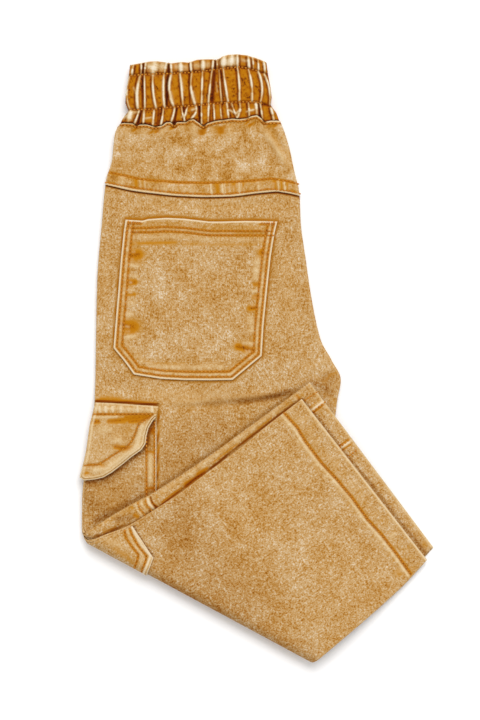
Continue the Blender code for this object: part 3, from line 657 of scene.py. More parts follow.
def ground(x, y):
    """The layers' common rise and sink."""
    sink = -OPEN_SINK * (1.0 - cover(x, y)) * (1.0 - ease(y, 150.0, WAIST_Y))
    flap = FLAP_RISE * ease(-y, 18.0, 34.0) * ease(-past_fold(x, y), 10.0, 28.0)
    flap = flap * (1.0 - ease(x, -66.0, -34.0))
    return sink + flap


def layer_face(layer, x, y):
    """Height of a layer's outer face before its own relief."""
    rise = ease(y, HIP_Y, 189.0)
    return layer.hip + (layer.waist - layer.hip) * rise + ground(x, y) + layer.up * CLOTH / 2.0


def swell(x, y, seed=0):
    """Unevenness of a layer, gone at the bend."""
    calm = 1.0 - ease(past_fold(x, y), -14.0, -2.0) * (1.0 - ease(past_fold(x, y), 24.0, 40.0))
    return calm * sum(height * waves(x, y, length, kind + seed) for length, height, kind in SHARED_SWELL)


def roll(away, radius):
    """Drop of a rounded edge at a distance from it."""
    inner = np.clip(radius - away, 0.0, radius)
    return radius - np.sqrt(np.maximum(radius * radius - inner * inner, 0.0))


# === Meshes ======================================================
Bed = namedtuple("Bed", "leg up x y face")
BEDS = {}       # where each sewn piece's outer face lies over the plan


def grid_mesh(name, points, cut, washes_and_shade, material, flip, ring):
    """A mesh from an operator's grid, moved to points[row, column]; row 0 is its top, column 0 its left."""
    rows, columns = points.shape[:2]
    shape = bmesh.new()
    bmesh.ops.create_grid(shape, x_segments=columns - 1, y_segments=rows - 1, size=1.0)
    if flip:
        bmesh.ops.reverse_faces(shape, faces=shape.faces)
    mesh = bpy.data.meshes.new(name)
    shape.to_mesh(mesh)
    shape.free()
    flat = np.empty(len(mesh.vertices) * 3)
    mesh.vertices.foreach_get("co", flat)
    flat = flat.reshape(-1, 3)[:, :2]
    share = (flat - flat.min(0)) / (flat.max(0) - flat.min(0))
    column = np.rint(share[:, 0] * (columns - 1)).astype(int)
    row = np.rint((1.0 - share[:, 1]) * (rows - 1)).astype(int)
    mesh.vertices.foreach_set("co", points[row, column].ravel())
    corner = np.empty(len(mesh.loops), int)
    mesh.loops.foreach_get("vertex_index", corner)
    layer = mesh.uv_layers.new(name="Cut")
    layer.uv.foreach_set("vector", (cut[row, column][corner] * MM).astype(np.float32).ravel())
    # the shade attribute is painted shade, stored beside the real wash and dye
    for wash, values in zip(("pale", "dye", "shade"), washes_and_shade):
        attribute = mesh.attributes.new(wash, "FLOAT", "POINT")
        attribute.data.foreach_set("value", np.clip(values[row, column], 0.0, 1.0).astype(np.float32))
    if ring:
        shape = bmesh.new()
        shape.from_mesh(mesh)
        bmesh.ops.remove_doubles(shape, verts=shape.verts, dist=1e-6)
        shape.to_mesh(mesh)
        shape.free()
    mesh.polygons.foreach_set("use_smooth", np.ones(len(mesh.polygons), bool))
    mesh.materials.append(material)
    mesh.update()
    return mesh


def in_scene(name, data):
    item = bpy.data.objects.new(name, data)
    bpy.context.scene.collection.objects.link(item)
    return item


def cloth_piece(name, node, points, cut, washes_and_shade, material, wall=CLOTH, flip=False,
                ring=False):
    item = in_scene(name, grid_mesh(name, points, cut, washes_and_shade, material, flip, ring))
    solid = item.modifiers.new("Wall", "SOLIDIFY")
    solid.thickness = wall * MM
    solid.offset = -1.0
    solid.use_even_offset = False
    solid.use_quality_normals = True
    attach(item, "root")
    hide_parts(node)


def sewn(leg, part, layer, x, y, face, cut, washes_and_shade, material, node=None, wall=CLOTH):
    """A panel or patch laid on its bed and taken round the fold."""
    name = leg + "_" + part
    BEDS[name] = Bed(leg, layer.up, x, y, face)
    cloth_piece(name + "_cloth", node or name, place(leg, x, y, face), cut, washes_and_shade, material,
                wall=wall, flip=layer.up < 0.0)


# === Leg panels ==================================================
def meet_fold(edge, distance):
    """Height at which an edge lies the given distance past the fold's axis."""
    y = FOLD_POINT[1]
    for _ in range(12):
        y += (past_fold(edge(y), y) - distance) / -OUT[1]
    return float(y)


def leg_rows(leg, top_rows):
    """Sections from the waist or yoke seam to the hem."""
    rows = list(top_rows)
    for step in range(BEND_ROWS + 1):
        distance = LEG_RADIUS[leg] * math.pi * step / BEND_ROWS
        low = meet_fold(lambda y: outseam_x(leg, y), distance)
        rows.append((low, meet_fold(inseam_x, distance), 0.0, 1.3, 1.0))
    return rows + [(HEM_OUT[leg], HEM_IN, 0.0, 1.3, 1.0)]


def finer(rows, steps):
    """Sections closer together: a step for each height at the outseam."""
    rows = [np.array(row, float) for row in rows]
    result = [rows[0]]
    for above, below in zip(rows, rows[1:]):
        size = (abs(above[0] - below[0]) + abs(above[1] - below[1])) / 2.0
        at = [0.0]
        while at[-1] < 1.0:
            y = above[0] + (below[0] - above[0]) * min(at[-1], 1.0)
            at.append(at[-1] + next(step for over, step in steps if y > over) / max(size, 1e-6))
        at = np.array(at) / at[-1]
        result += [above + (below - above) * share for share in at[1:]]
    return result


def leg_grid(leg, rows, columns, inset=None, fine_to=0.0):
    """Plan points of a panel's grid with the drop of its turned edges; inset is given for a front."""
    xs, ys, drops = [], [], []
    for out_y, in_y, bow, turn, front_inset in rows:
        start = np.array((outseam_x(leg, out_y), out_y))
        end = np.array((inseam_x(in_y), in_y))
        length = np.hypot(*(end - start))
        if inset is None:
            first, last, roll_left, roll_right = 0.0, 0.0, SEAM_ROLL, turn
        else:
            first, last, roll_left, roll_right = inset, front_inset, FRONT_ROLL, FRONT_ROLL
        left = first + roll_left * (1.0 - np.sin(TURN_ANGLES))
        left = np.concatenate([left, first + roll_left + np.array(RIM)])
        right = last + roll_right * (1.0 - np.sin(TURN_ANGLES[::-1]))
        right = np.concatenate([last + roll_right + np.array(RIM[::-1]), right])
        middle = np.linspace(max(left[-1], fine_to), length - right[0], columns)[1:-1]
        if fine_to:
            middle = np.concatenate([np.linspace(left[-1], fine_to, FINE_COLUMNS)[1:], middle])
        at = np.concatenate([left, middle, length - right]) / length
        fall_left = roll_left * (1.0 - np.cos(TURN_ANGLES))
        fall_right = roll_right * (1.0 - np.cos(TURN_ANGLES[::-1]))
        still = np.zeros(len(at) - 2 * len(TURN_ANGLES))
        drops.append(np.concatenate([fall_left, still, fall_right]))
        point = start + (end - start) * at[:, None]
        xs.append(point[:, 0])
        ys.append(point[:, 1] - bow * 4.0 * at * (1.0 - at))
    return np.array(xs), np.array(ys), np.array(drops)


def hem_line(leg):
    """The hem's edge in the plan."""
    return np.array(((outseam_x(leg, HEM_OUT[leg]), HEM_OUT[leg]), (inseam_x(HEM_IN), HEM_IN)), float)


def hem_welt(away_hem):
    """1 on the doubled hem, 0 above it."""
    return 1.0 - ease(away_hem, HEM_DEPTH - 1.5, HEM_DEPTH + 0.5)


def yoke_shift(x):
    """How far the yoke's lower edge differs from the part's plain curve."""
    rows = YOKE_ROWS[-1]
    start, end = -120.0, 35.0
    part = np.clip((x - start) / (end - start), 0.0, 1.0)
    plain = rows[0] + (rows[1] - rows[0]) * part - rows[2] * 4.0 * part * (1.0 - part)
    return soft_curve(x, YOKE_EDGE) - plain


def yoke_marks():
    marks = seam_stitch(YOKE_HIGH) + seam_stitch(YOKE_LOW)
    for table, height, pale, dye in ((YOKE_DYED, -0.2, 0.0, 0.75), (YOKE_PALE, 0.3, 0.8, 0.0)):
        for x, width, strength in table:
            at = plan_x(x)
            line = ((at - 0.3, level(YOKE_HIGH, at) - 0.6), (at + 0.4, level(YOKE_EDGE, at) + 1.6))
            marks.append(mark(line, width * PHOTO_MM, height * strength, pale * strength, dye * strength, 0.1))
    marks += puckers(YOKE_HIGH, -9.0, -0.8, 3.4, 11, 0.18, 0.3, 0.35)
    marks.append(mark(moved(YOKE_EDGE, 0.8), 0.7, 0.25, 0.9, fade=0.0))
    for x, y, reach, width, strength in YOKE_GATHERS:
        line = from_photo((x - 0.6, y - reach * 0.8, x, y, x + 1.2, y + reach * 1.1))
        # each gather is dyed and carries a little painted shade in its trough
        marks.append(mark(line, width * 1.5 * PHOTO_MM, -0.3 * strength, 0.0, 0.98 * strength, 0.35,
                          0.06 * strength))
    return marks + placed(YOKE_FOLDS, from_photo, 0.4)


def yoke_piece(leg):
    layer = BACK_LAYERS[leg]
    top = leg == "left"
    x, y, drop = leg_grid(leg, finer(YOKE_ROWS, YOKE_STEPS[leg]), YOKE_COLUMNS[leg])
    cut = np.stack([x, y], -1)
    y = y + (level(WAIST_SEAM, x) - WAIST_Y - 0.2) * ease(y, 166.0, WAIST_Y)
    y = y + yoke_shift(x) * (1.0 - ease(y, 132.0, 160.0))
    height, pale, dye, shade = marked(yoke_marks() if top else similar(yoke_marks(), 21), x, y)
    away_waist = distance_to(WAIST_SEAM, x, y)
    away_high, _, side = near(YOKE_HIGH, x, y)
    # the felled band is raised, and its edge is rounded
    band = np.where(side < 0.0, ease(away_high, 0.0, 2.0), 0.0)
    height = height + 0.55 * band + 0.25 - 0.8 * roll(distance_to(YOKE_EDGE, x, y), 0.8)
    # the welt along the waist seam stands over the band's lower edge
    height = height + 0.7 * hump(away_waist, 0.9, 0.9) - roll(away_waist, 0.7)
    pinch = np.zeros(x.shape)
    for at, depth in YOKE_PINCHES:
        pinch = np.maximum(pinch, depth * hump(x, plan_x(at), 1.5))
    pale = screen(pale, 0.9 * (1.0 - pinch) * hump(away_waist, 0.5, 0.6))
    dye = np.maximum(dye, hump(away_waist, 1.95, 0.8))
    # painted shade under the waist welt, deepest in its pinches
    shade = screen(shade, 0.3 * hump(away_waist, 2.0, 0.5))
    shade = screen(shade, 0.7 * pinch * hump(away_waist, 0.6, 1.1))
    height = height - 0.5 * pinch * hump(away_waist, 0.6, 1.4)
    pale = screen(pale, 0.35 * np.exp(-(drop - 0.4) ** 2 / 0.3) * (drop > 0.01))
    press = 1.0 if top else PRESSED["panel"]
    face = layer_face(layer, x, y) + layer.up * (press * height + swell(x, y) * press - drop)
    sewn(leg, "yoke", layer, x, y, face, cut, (pale, dye, shade), YOKE_DENIM)


def on_patches(x, y):
    """1 under the back pocket, well inside its edge."""
    return inside(POCKET_OUTLINE, x, y) * ease(distance_to(POCKET_SIDES, x, y), 1.0, 4.0)


def body_marks():
    """The top of the back panel above the turned-up legs."""
    # painted contact shadow and dye round the back pocket, and painted shadow under the yoke's edge
    marks = [mark(moved(POCKET_SIDES, -0.7), 0.9, -0.2, dye=0.6, fade=0.0, shade=0.15),
             mark(moved(POCKET_TOP, 0.9), 1.3, -0.2, dye=0.65, fade=0.0, shade=0.1),
             painted_shadow_line(moved(YOKE_EDGE, -0.5), 0.8, 0.6)]
    marks += placed(BODY_FOLDS, from_photo, 0.3)
    # painted shade, with a little dye, where the turned-up legs shelter the cloth, and in the crease
    shelter = from_photo((100, 518.6, 126, 504.6, 157, 489, 182, 472.6, 210, 453.6, 245, 428.6, 278, 404.6,
                          298, 390))
    marks.append(mark(shelter, 1.6, -0.25, dye=0.12, fade=0.0, shade=0.18))
    marks += [painted_shadow_line(from_photo(line), width * PHOTO_MM, shade, 0.3) for width, shade, *line in BODY_SHADES]
    # painted shadow in the gap above the flap and beside the cargo pocket's side
    marks.append(painted_shadow_line(from_photo((95, 401.4, 112, 402, 135, 403.4, 158.4, 405)), 0.75, 0.8))
    marks.append(painted_shadow_line(from_photo((158.2, 408, 157.7, 430, 157.2, 460, 156.9, 494)), 0.55, 0.3))
    # mustard above the cargo flap, and along the cargo pocket's side
    for line, width, height, dye, fade in (
            ((95, 400.6, 118, 400.8, 140, 402.6, 157, 404.4), 1.9, -0.3, 0.75, 0.05),
            ((96, 398.4, 112, 398, 126, 400), 2.0, 0.0, 0.5, 0.2),
            ((158.4, 408, 158.2, 440, 158, 470, 157.6, 494), 0.9, -0.25, 0.7, 0.0)):
        marks.append(mark(from_photo(line), width, height, dye=dye, fade=fade))
    return marks + puckers(moved(YOKE_EDGE, -2.0), 0.0, -5.0, 4.0, 5, 0.2, 0.2, 0.25)


def lower_marks(leg):
    """The face of a leg below the knee, seen on the turned-up part. The body is to the stitch line's left."""
    marks = seam_stitch(HEM_STITCH, 0.9, 0.95, 0.45)
    marks.append(mark(moved(HEM_STITCH, 2.3), 1.4, 0.4, 0.62, fade=0.0))
    marks += puckers(moved(HEM_STITCH, -1.0), 0.0, -15.0, 3.2, 31, 0.16, 0.22, 0.3, 0.5)
    marks += puckers(moved(HEM_STITCH, 1.0), 0.0, 7.0, 2.6, 32, 0.2, 0.3, 0.45, 0.5)
    if leg == "right":
        # painted shadow beside the turned-up cargo pocket's edge
        marks.append(painted_shadow_line(on_right((133.6, 524.8, 137.2, 532.6, 144.2, 543.8, 153.2, 555.2, 150, 564,
                                       145.6, 574.6)), 0.8, 0.55))
        marks.append(mark(on_right((397, 567, 403, 577)), 4.4, -0.2, dye=0.36, fade=0.3))
        marks.append(mark(on_right((410, 566, 414, 571)), 3.0, -0.2, dye=0.26, fade=0.3))
        # broad painted shade on the turned-up part
        marks += [painted_shadow_line(on_right(line), width, shade) for width, shade, *line in TURNED_SHADES]
    return marks


def back_piece(leg):
    layer = BACK_LAYERS[leg]
    top = leg == "left"
    x, y, drop = leg_grid(leg, finer(leg_rows(leg, BACK_ROWS), BACK_STEPS[leg]), BACK_COLUMNS[leg])
    cut = np.stack([x, y], -1)
    y = y + yoke_shift(x) * ease(y, 90.0, 132.0)
    away_hem = distance_to(hem_line(leg), x, y)
    upper = body_marks() if top else [item._replace(shade=0.0) for item in similar(body_marks(), 41)]
    height, pale, dye, shade = marked(upper + lower_marks(leg), x, y)
    height = height * (1.0 - on_patches(x, y))
    # the top edge dips under the yoke's, and its darker dye there is partly painted shadow
    away_edge = distance_to(YOKE_EDGE, x, y)
    height = height - 0.75 * hump(away_edge, 0.0, 2.0)
    dye = screen(dye, 0.75 * hump(away_edge, 0.0, 1.3))
    # the hem is double, and rounded at its edge
    height = height + 0.45 * hem_welt(away_hem) - roll(away_hem, 1.0)
    pale = screen(pale, 0.8 * hump(away_hem, 0.4, 1.5))
    pale = screen(pale, 0.3 * hump(drop, 0.35, 0.5) * (drop > 0.002))
    press = PRESSED["panel"]
    press = 1.0 if top else press + (1.0 - press) * ease(past_fold(x, y), 0.0, 20.0)
    seed = 0 if top else UNDER_SEED
    face = layer_face(layer, x, y) + layer.up * (press * (height + swell(x, y, seed)) - drop)
    sewn(leg, "back", layer, x, y, face, cut, (pale, dye, shade), DENIM)


def front_piece(leg):
    layer = FRONT_LAYERS[leg]
    shown = leg == "left"
    rows = finer(leg_rows(leg, YOKE_ROWS[:-1] + BACK_ROWS), FRONT_STEPS[leg])
    x, y, drop = leg_grid(leg, rows, FRONT_COLUMNS[leg], FRONT_INSET, FINE_REACH if shown else 0.0)
    cut = np.stack([x, y], -1)
    away_hem = distance_to(hem_line(leg), x, y)
    height, pale, dye, shade = marked(strip_marks() if shown else [], x, y)
    height = height + 0.25 * hem_welt(away_hem) - roll(away_hem, 0.8)
    pale = screen(pale, 0.7 * hump(away_hem, 0.4, 1.3))
    pale = screen(pale, 0.25 * hump(drop, 0.3, 0.4) * (drop > 0.002))
    face = layer_face(layer, x, y) + layer.up * (height - drop)
    sewn(leg, "front", layer, x, y, face, cut, (pale, dye, shade), DENIM,
         node="fronts")


def strip_marks():
    """The left front where it shows beside the turned-up right leg and beyond its hem."""
    marks = placed(STRIP_FOLDS, on_left, 0.05)
    top_leg = on_left((93.9, 536.6, 103.7, 535.2, 112, 531, 122, 526.1, 131.7, 524, 140, 518.5, 148.6, 512.8,
                       158.4, 507.2, 168.2, 499.5, 182.3, 488.9, 196.3, 477.7, 207.5, 470.7, 218.7, 462.3,
                       230, 452.5, 281, 413.5, 300, 399.6))
    # painted shadow, with some dye, on the strip along the turned-up leg's edge
    marks.append(mark(top_leg, 0.9, -0.2, dye=0.3, fade=0.0, shade=0.26))
    marks.append(painted_shadow_line(moved(top_leg, 1.2), 2.4, 0.12))
    for first, last, width, dye, shade in STRIP_EDGES:
        marks.append(mark(top_leg[first:last], width, -0.2, dye=dye, fade=0.2, shade=shade))
    under_hem = on_left((302.8, 400.2, 311.3, 410, 326.6, 429.8, 340.4, 447.4, 352.7, 463.4, 368, 480.4,
                         383.3, 500.4, 398.6, 520.2, 413.8, 538.4, 426.2, 554))
    # painted shade where the top leg's hem lies over the under leg
    marks.append(painted_shadow_line(under_hem, 1.5, 0.3))
    marks.append(mark(on_left((423, 541, 428, 548)), 3.4, -0.2, dye=0.3, fade=0.3))
    # more painted shadow by the fold's corner and beside a crossing seam
    marks.append(painted_shadow_line(on_left((118, 519, 132, 517.4)), 3.0, 0.2))
    marks.append(painted_shadow_line(on_left((150.6, 496.8, 152.4, 502.8, 157.4, 508.4)), 0.5, 0.6))
    edge = on_left((100, 520.6, 126, 506.6, 157, 491, 182, 474.6, 210, 455.6, 245, 430.6, 278, 406.6, 300, 390))
    return marks + puckers(edge, 1.0, 6.5, 2.2, 62, 0.25, 0.5, 0.45, 0.5)


# === Patches =====================================================
def even(count, rim):
    """Shares from 0 to 1, closer together at both ends."""
    return np.concatenate([rim, np.linspace(rim[-1], 1.0 - rim[-1], count)[1:-1], 1.0 - np.array(rim[::-1])])


def four_sided(top, foot, left, right, across, down):
    """A grid of plan points between four lines that share their ends."""
    s = across[None, :, None]
    t = down[:, None, None]
    upper, lower = (along(line, across * lengths(line)[-1])[None] for line in (top, foot))
    first, last = (along(line, down * lengths(line)[-1])[:, None] for line in (left, right))
    corners = (top[0] * (1 - s) * (1 - t) + top[-1] * s * (1 - t) + foot[0] * (1 - s) * t + foot[-1] * s * t)
    return upper * (1 - t) + lower * t + first * (1 - s) + last * s - corners


def pocket_marks():
    marks = []
    for inset in POCKET_STITCHES:
        marks += seam_stitch(corner_free(POCKET_SIDES, inset))
    hem_high = from_photo((124.6, 228) + PHOTO_POCKET_HEM + (272.6, 231.2))
    hem_low = hem_high + POCKET_HEM_GAP
    marks += seam_stitch(hem_high) + seam_stitch(hem_low)
    marks.append(mark((hem_high[1:-1] + hem_low[1:-1]) / 2.0, 0.7, 0.2, 0.3, fade=0.0))
    marks.append(mark(moved(hem_high, 3.2), 2.2, dye=0.22, fade=0.0))
    for width, height, wash, *line in POCKET_FOLDS:
        spread = 1.5 if wash < -0.5 else 1.1
        marks.append(mark(from_photo(line), width * spread * PHOTO_MM, height * 0.5, max(wash, 0.0) * 0.85,
                          min(0.95, max(-wash, 0.0) * 1.25), 0.0))
    marks.append(mark(corner_free(POCKET_SIDES, 4.7), 0.9, 0.1, 0.32, fade=0.0))
    marks += puckers(corner_free(POCKET_SIDES, 7.4), 0.0, 6.0, 4.2, 71, 0.2, 0.35, 0.35)
    return marks + puckers(corner_free(POCKET_SIDES, 3.0), 0.0, 3.4, 2.0, 72, 0.14, 0.3, 0.4)


def pocket_piece(leg):
    layer = BACK_LAYERS[leg]
    top = leg == "left"
    cells = even(POCKET_CELLS[leg], (0.0, 0.0012, 0.003, 0.0055, 0.009, 0.0135, 0.019))
    grid = four_sided(POCKET_TOP, POCKET_FOOT, POCKET_LEFT, POCKET_RIGHT, cells, cells)
    x, y = grid[..., 0], grid[..., 1]
    height, pale, dye, shade = marked(pocket_marks() if top else similar(pocket_marks(), 51), x, y)
    away_side = distance_to(POCKET_SIDES, x, y)
    away_top = distance_to(POCKET_TOP, x, y)
    away = np.minimum(away_side, away_top)
    height = height + 0.35 * (1.0 - ease(np.minimum(away_side, away_top * 0.8), 6.6, 8.2))
    height = height + 0.15 * hump(away, 1.0, 0.8) - roll(away, 0.7)
    pale = screen(pale, hump(away, 0.6, 0.85))
    press, seed = (1.0, 0) if top else (PRESSED["pocket"], UNDER_SEED)
    face = (layer_face(layer, x, y) + layer.up * (ON_CLOTH + 0.1)
            + layer.up * press * (height + swell(x, y, seed)))
    sewn(leg, "back_pocket", layer, x, y, face, grid, (pale, dye, shade), POCKET_DENIM)


def cargo_outline(leg):
    side = CARGO_SIDE[leg]
    edge = [(outseam_x(leg, y) + 1.7, y) for y in np.linspace(CARGO_TOP, CARGO_FOOT, 30)]
    corner = (side - CARGO_CORNER_WIDTH, CARGO_FOOT)
    return {"left": np.array(edge, float), "top": np.array((edge[0], (side, CARGO_TOP))),
            "right": np.array(((side, CARGO_TOP), (side, CARGO_FOOT + CARGO_CORNER), corner)),
            "foot": np.array((edge[-1], corner))}


def cargo_marks(leg, lines):
    if leg == "right":
        marks = seam_stitch(CARGO_STITCH_NEAR, 0.85, 0.6)
        marks += seam_stitch(CARGO_STITCH_FAR, 0.85, 0.6)
        return marks + placed(TURNED_CARGO_FOLDS, on_right, 0.0)
    outer, inner = (lines["right"][:2] + inset for inset in CARGO_STITCHES)
    marks = seam_stitch(outer, 0.8, 0.6) + seam_stitch(inner, 0.7, 0.6) + placed(CARGO_FOLDS, from_photo, 0.0)
    marks += puckers(inner, 0.5, 5.8, 3.0, 81, 0.2, 0.4, 0.4)
    # painted shadow where the flap and the turned-up legs shelter it
    return marks + [painted_shadow_line(moved(FLAP_FOOT, -0.9), 1.6, 0.6), painted_shadow_line(moved(FLAP_FOOT, -3.0), 4.5, 0.14),
                    painted_shadow_line(from_photo((84, 500, 110, 502, 150, 486)), 14.0, 0.09),
                    painted_shadow_line(from_photo((96, 520.6, 126, 504.6, 157, 489)), 2.6, 0.24)]


def cargo_piece(leg):
    layer = BACK_LAYERS[leg]
    top = leg == "left"
    lines = cargo_outline(leg)
    grid = four_sided(lines["top"], lines["foot"], lines["left"], lines["right"],
                      even(48, (0.0, 0.006, 0.014, 0.026, 0.04)), even(130, (0.0, 0.002, 0.005, 0.009, 0.014)))
    x, y = grid[..., 0], grid[..., 1]
    height, pale, dye, shade = marked(cargo_marks(leg, lines), x, y)
    away_left = distance_to(lines["left"], x, y)
    away = np.minimum(distance_to(lines["right"], x, y), distance_to(lines["foot"], x, y))
    height = height + 0.2 * hump(away, 1.0, 0.8) - roll(away, 0.7) - roll(away_left, 1.1)
    pale = screen(pale, 0.95 * hump(away, 0.35, 0.6))
    pale = screen(pale, 0.25 * hump(away_left, 0.0, 1.0))
    past = past_fold(x, y)
    press = PRESSED["pocket"]
    calm = 1.0 - ease(past, -14.0, -2.0) if top else press + (1.0 - press) * ease(past, 0.0, 12.0)
    seed = 0 if top else UNDER_SEED
    face = layer_face(layer, x, y) + layer.up * (ON_CLOTH + calm * (height + swell(x, y, seed)))
    face = face - layer.up * (1.0 - calm) * (roll(away, 0.5) if top else 0.0)
    sewn(leg, "cargo_pocket", layer, x, y, face, grid, (pale, dye, shade), DENIM)


def flap_marks():
    marks = seam_stitch(from_photo((92.4, 414.1, 120, 414.3, 152.8, 414.2)), 0.85, 0.7, 0.35)
    crease = from_photo((152.8, 415.6, 146, 419, 138.8, 423.5) + PHOTO_FLAP_SEAM + (82.6, 465.6))
    # the crease along the flap's seam is dyed, with a little painted shade
    marks.append(mark(crease, 1.0, -0.5, dye=0.6, fade=0.0, shade=0.1))
    marks += placed(FLAP_FOLDS, from_photo, 0.05)
    for x, strength in FLAP_DYED:
        marks.append(mark(from_photo((x, 405.6, x + 0.4, 412.6)), 0.75, -0.25, dye=strength, fade=0.1))
    for x, strength in FLAP_PALE:
        marks.append(mark(from_photo((x, 405.6, x + 0.3, 412.6)), 0.8, 0.25, strength, fade=0.1))
    return marks


def flap_piece(leg):
    layer = BACK_LAYERS[leg]
    top = leg == "left"
    cells = even(FLAP_CELLS[leg], (0.0, 0.003, 0.008, 0.015, 0.024, 0.036))
    grid = four_sided(FLAP_TOP, FLAP_FOOT, FLAP_LEFT, FLAP_RIGHT, cells, cells)
    free = np.concatenate([FLAP_LEFT, FLAP_FOOT[1:]])
    if not top:
        narrower = (UNDER_FLAP_WIDTH, 1.0)
        inwards = ((1.0 - UNDER_FLAP_WIDTH) * FLAP_TOP[-1, 0], 0.0)
        grid, free = grid * narrower + inwards, free * narrower + inwards
    x, y = grid[..., 0], grid[..., 1]
    height, pale, dye, shade = marked(flap_marks(), x, y)
    away_free, share, _ = near(free, x, y)
    away_top = distance_to(FLAP_TOP, x, y)
    lift = hump(away_free, 0.0, 6.0) * ease(share, 0.25, 0.5)
    height = height + lift * (0.7 + 0.6 * np.sin(share * 34.0)) - roll(np.minimum(away_free, away_top), 0.9)
    pale = screen(pale, 0.17 * (1.0 - np.clip(1.6 * dye, 0.0, 1.0)))
    pale = screen(pale, (0.25 + 0.6 * ease(share, 0.3, 0.4)) * hump(away_free, 0.5, 0.7))
    pale = screen(pale, 0.6 * hump(away_free, 2.2, 0.8))
    # painted shade in the gap between the free edge's two layers
    shade = screen(shade, 0.5 * hump(away_free, 1.4, 0.4) * ease(share, 0.34, 0.44))
    pale = screen(pale, 0.5 * hump(away_top, 0.6, 0.8))
    # on top, it sags over the outseam
    sag = 2.6 * ease(np.maximum(outseam_x(leg, y) - x, 0.0) + 1.0, 0.0, 9.0) if top else 0.0
    press, seed = (1.0, 0) if top else (PRESSED["flap"], UNDER_SEED)
    face = (layer_face(layer, x, y) + layer.up * 2.0 * ON_CLOTH - sag
            + layer.up * press * (height + swell(x, y, seed)))
    sewn(leg, "cargo_flap", layer, x, y, face, grid, (pale, dye, shade), POCKET_DENIM,
         wall=1.5 if top else 1.1)


# === Waistband ===================================================
CHANNELS = {"top": (BAND_TOP, ROW_HIGH), "middle": (ROW_HIGH, ROW_LOW), "low": (ROW_LOW, WAIST_SEAM)}


def bowed(points):
    """A smooth line through three points."""
    t = np.linspace(0.0, 1.0, 9)[:, None]
    first, middle, last = np.array(points, float)
    return first * (1.0 - t) * (1.0 - 2.0 * t) + middle * 4.0 * t * (1.0 - t) + last * t * (2.0 * t - 1.0)


def gather_line(channel, xs):
    """A gather's line from the top to the foot of its channel."""
    above, below = CHANNELS[channel]
    start, middle, end = (plan_x(x) for x in xs)
    high, low = level(above, start), level(below, end)
    trim = 0.35
    return bowed(((start, high - trim), (middle, (high + low) / 2.0), (end, low + trim)))


def band_marks():
    rng = random.Random(93)
    marks = []
    for channel, gathers in GATHERS.items():
        for *xs, width, pale in gathers:
            line = gather_line(channel, xs)
            size = width * PHOTO_MM
            shaded = 1.0 if rng.random() < 0.7 else -1.0
            worn = sorted((rng.randint(0, 3), rng.randint(5, 8)))
            dark, faint = rng.uniform(0.1, 0.5), rng.uniform(0.0, 0.2)
            end = line[-3:] if rng.random() < 0.6 else line[:3]
            marks += [
                mark(line, size * 1.6 + 0.7, 0.8, fade=0.04),
                # the crest is worn unevenly along its length
                mark(line, size * 0.5 + 0.08, 0.3, pale * 0.62, fade=0.03),
                mark(line[worn[0]:worn[1] + 1], size * 0.82 + 0.14, 0.25, min(1.0, 1.2 * pale), fade=0.3),
                # painted shadow beside the crest, mostly on one side, and a fainter one on the other
                mark(moved(line, -shaded * (size + 0.7)), 0.75, -0.5, 0.0, 1.0, 0.1, dark),
                mark(moved(line, shaded * (size + 0.5)), 0.5, -0.2, 0.0, 0.9, 0.2, faint),
                # it spreads at one end, where the elastic's stitches hold it
                mark(moved(end, -shaded * 0.5), size * 0.5 + 0.4, 0.1, 0.5 * pale, fade=0.0)]
    for channel, *xs, width, depth in DEEP_GAPS:
        marks.append(mark(gather_line(channel, xs), width * PHOTO_MM * 1.1, -1.1 * depth, 0.0, depth, 0.1,
                          0.85 * depth))
    # painted shade in the stitch channels
    for row in (ROW_HIGH, ROW_LOW):
        marks.append(mark(row, 1.1, -0.9, 0.0, 0.95, 0.0, 0.4))
    for width, pale, *line in BAND_PUFFS:
        marks.append(mark(from_photo(line), width * 0.82 * PHOTO_MM, 0.15, pale, fade=0.0))
    # painted shadow along the waist seam
    return marks + [painted_shadow_line(moved(WAIST_SEAM, 0.4), 0.7, 0.55)]


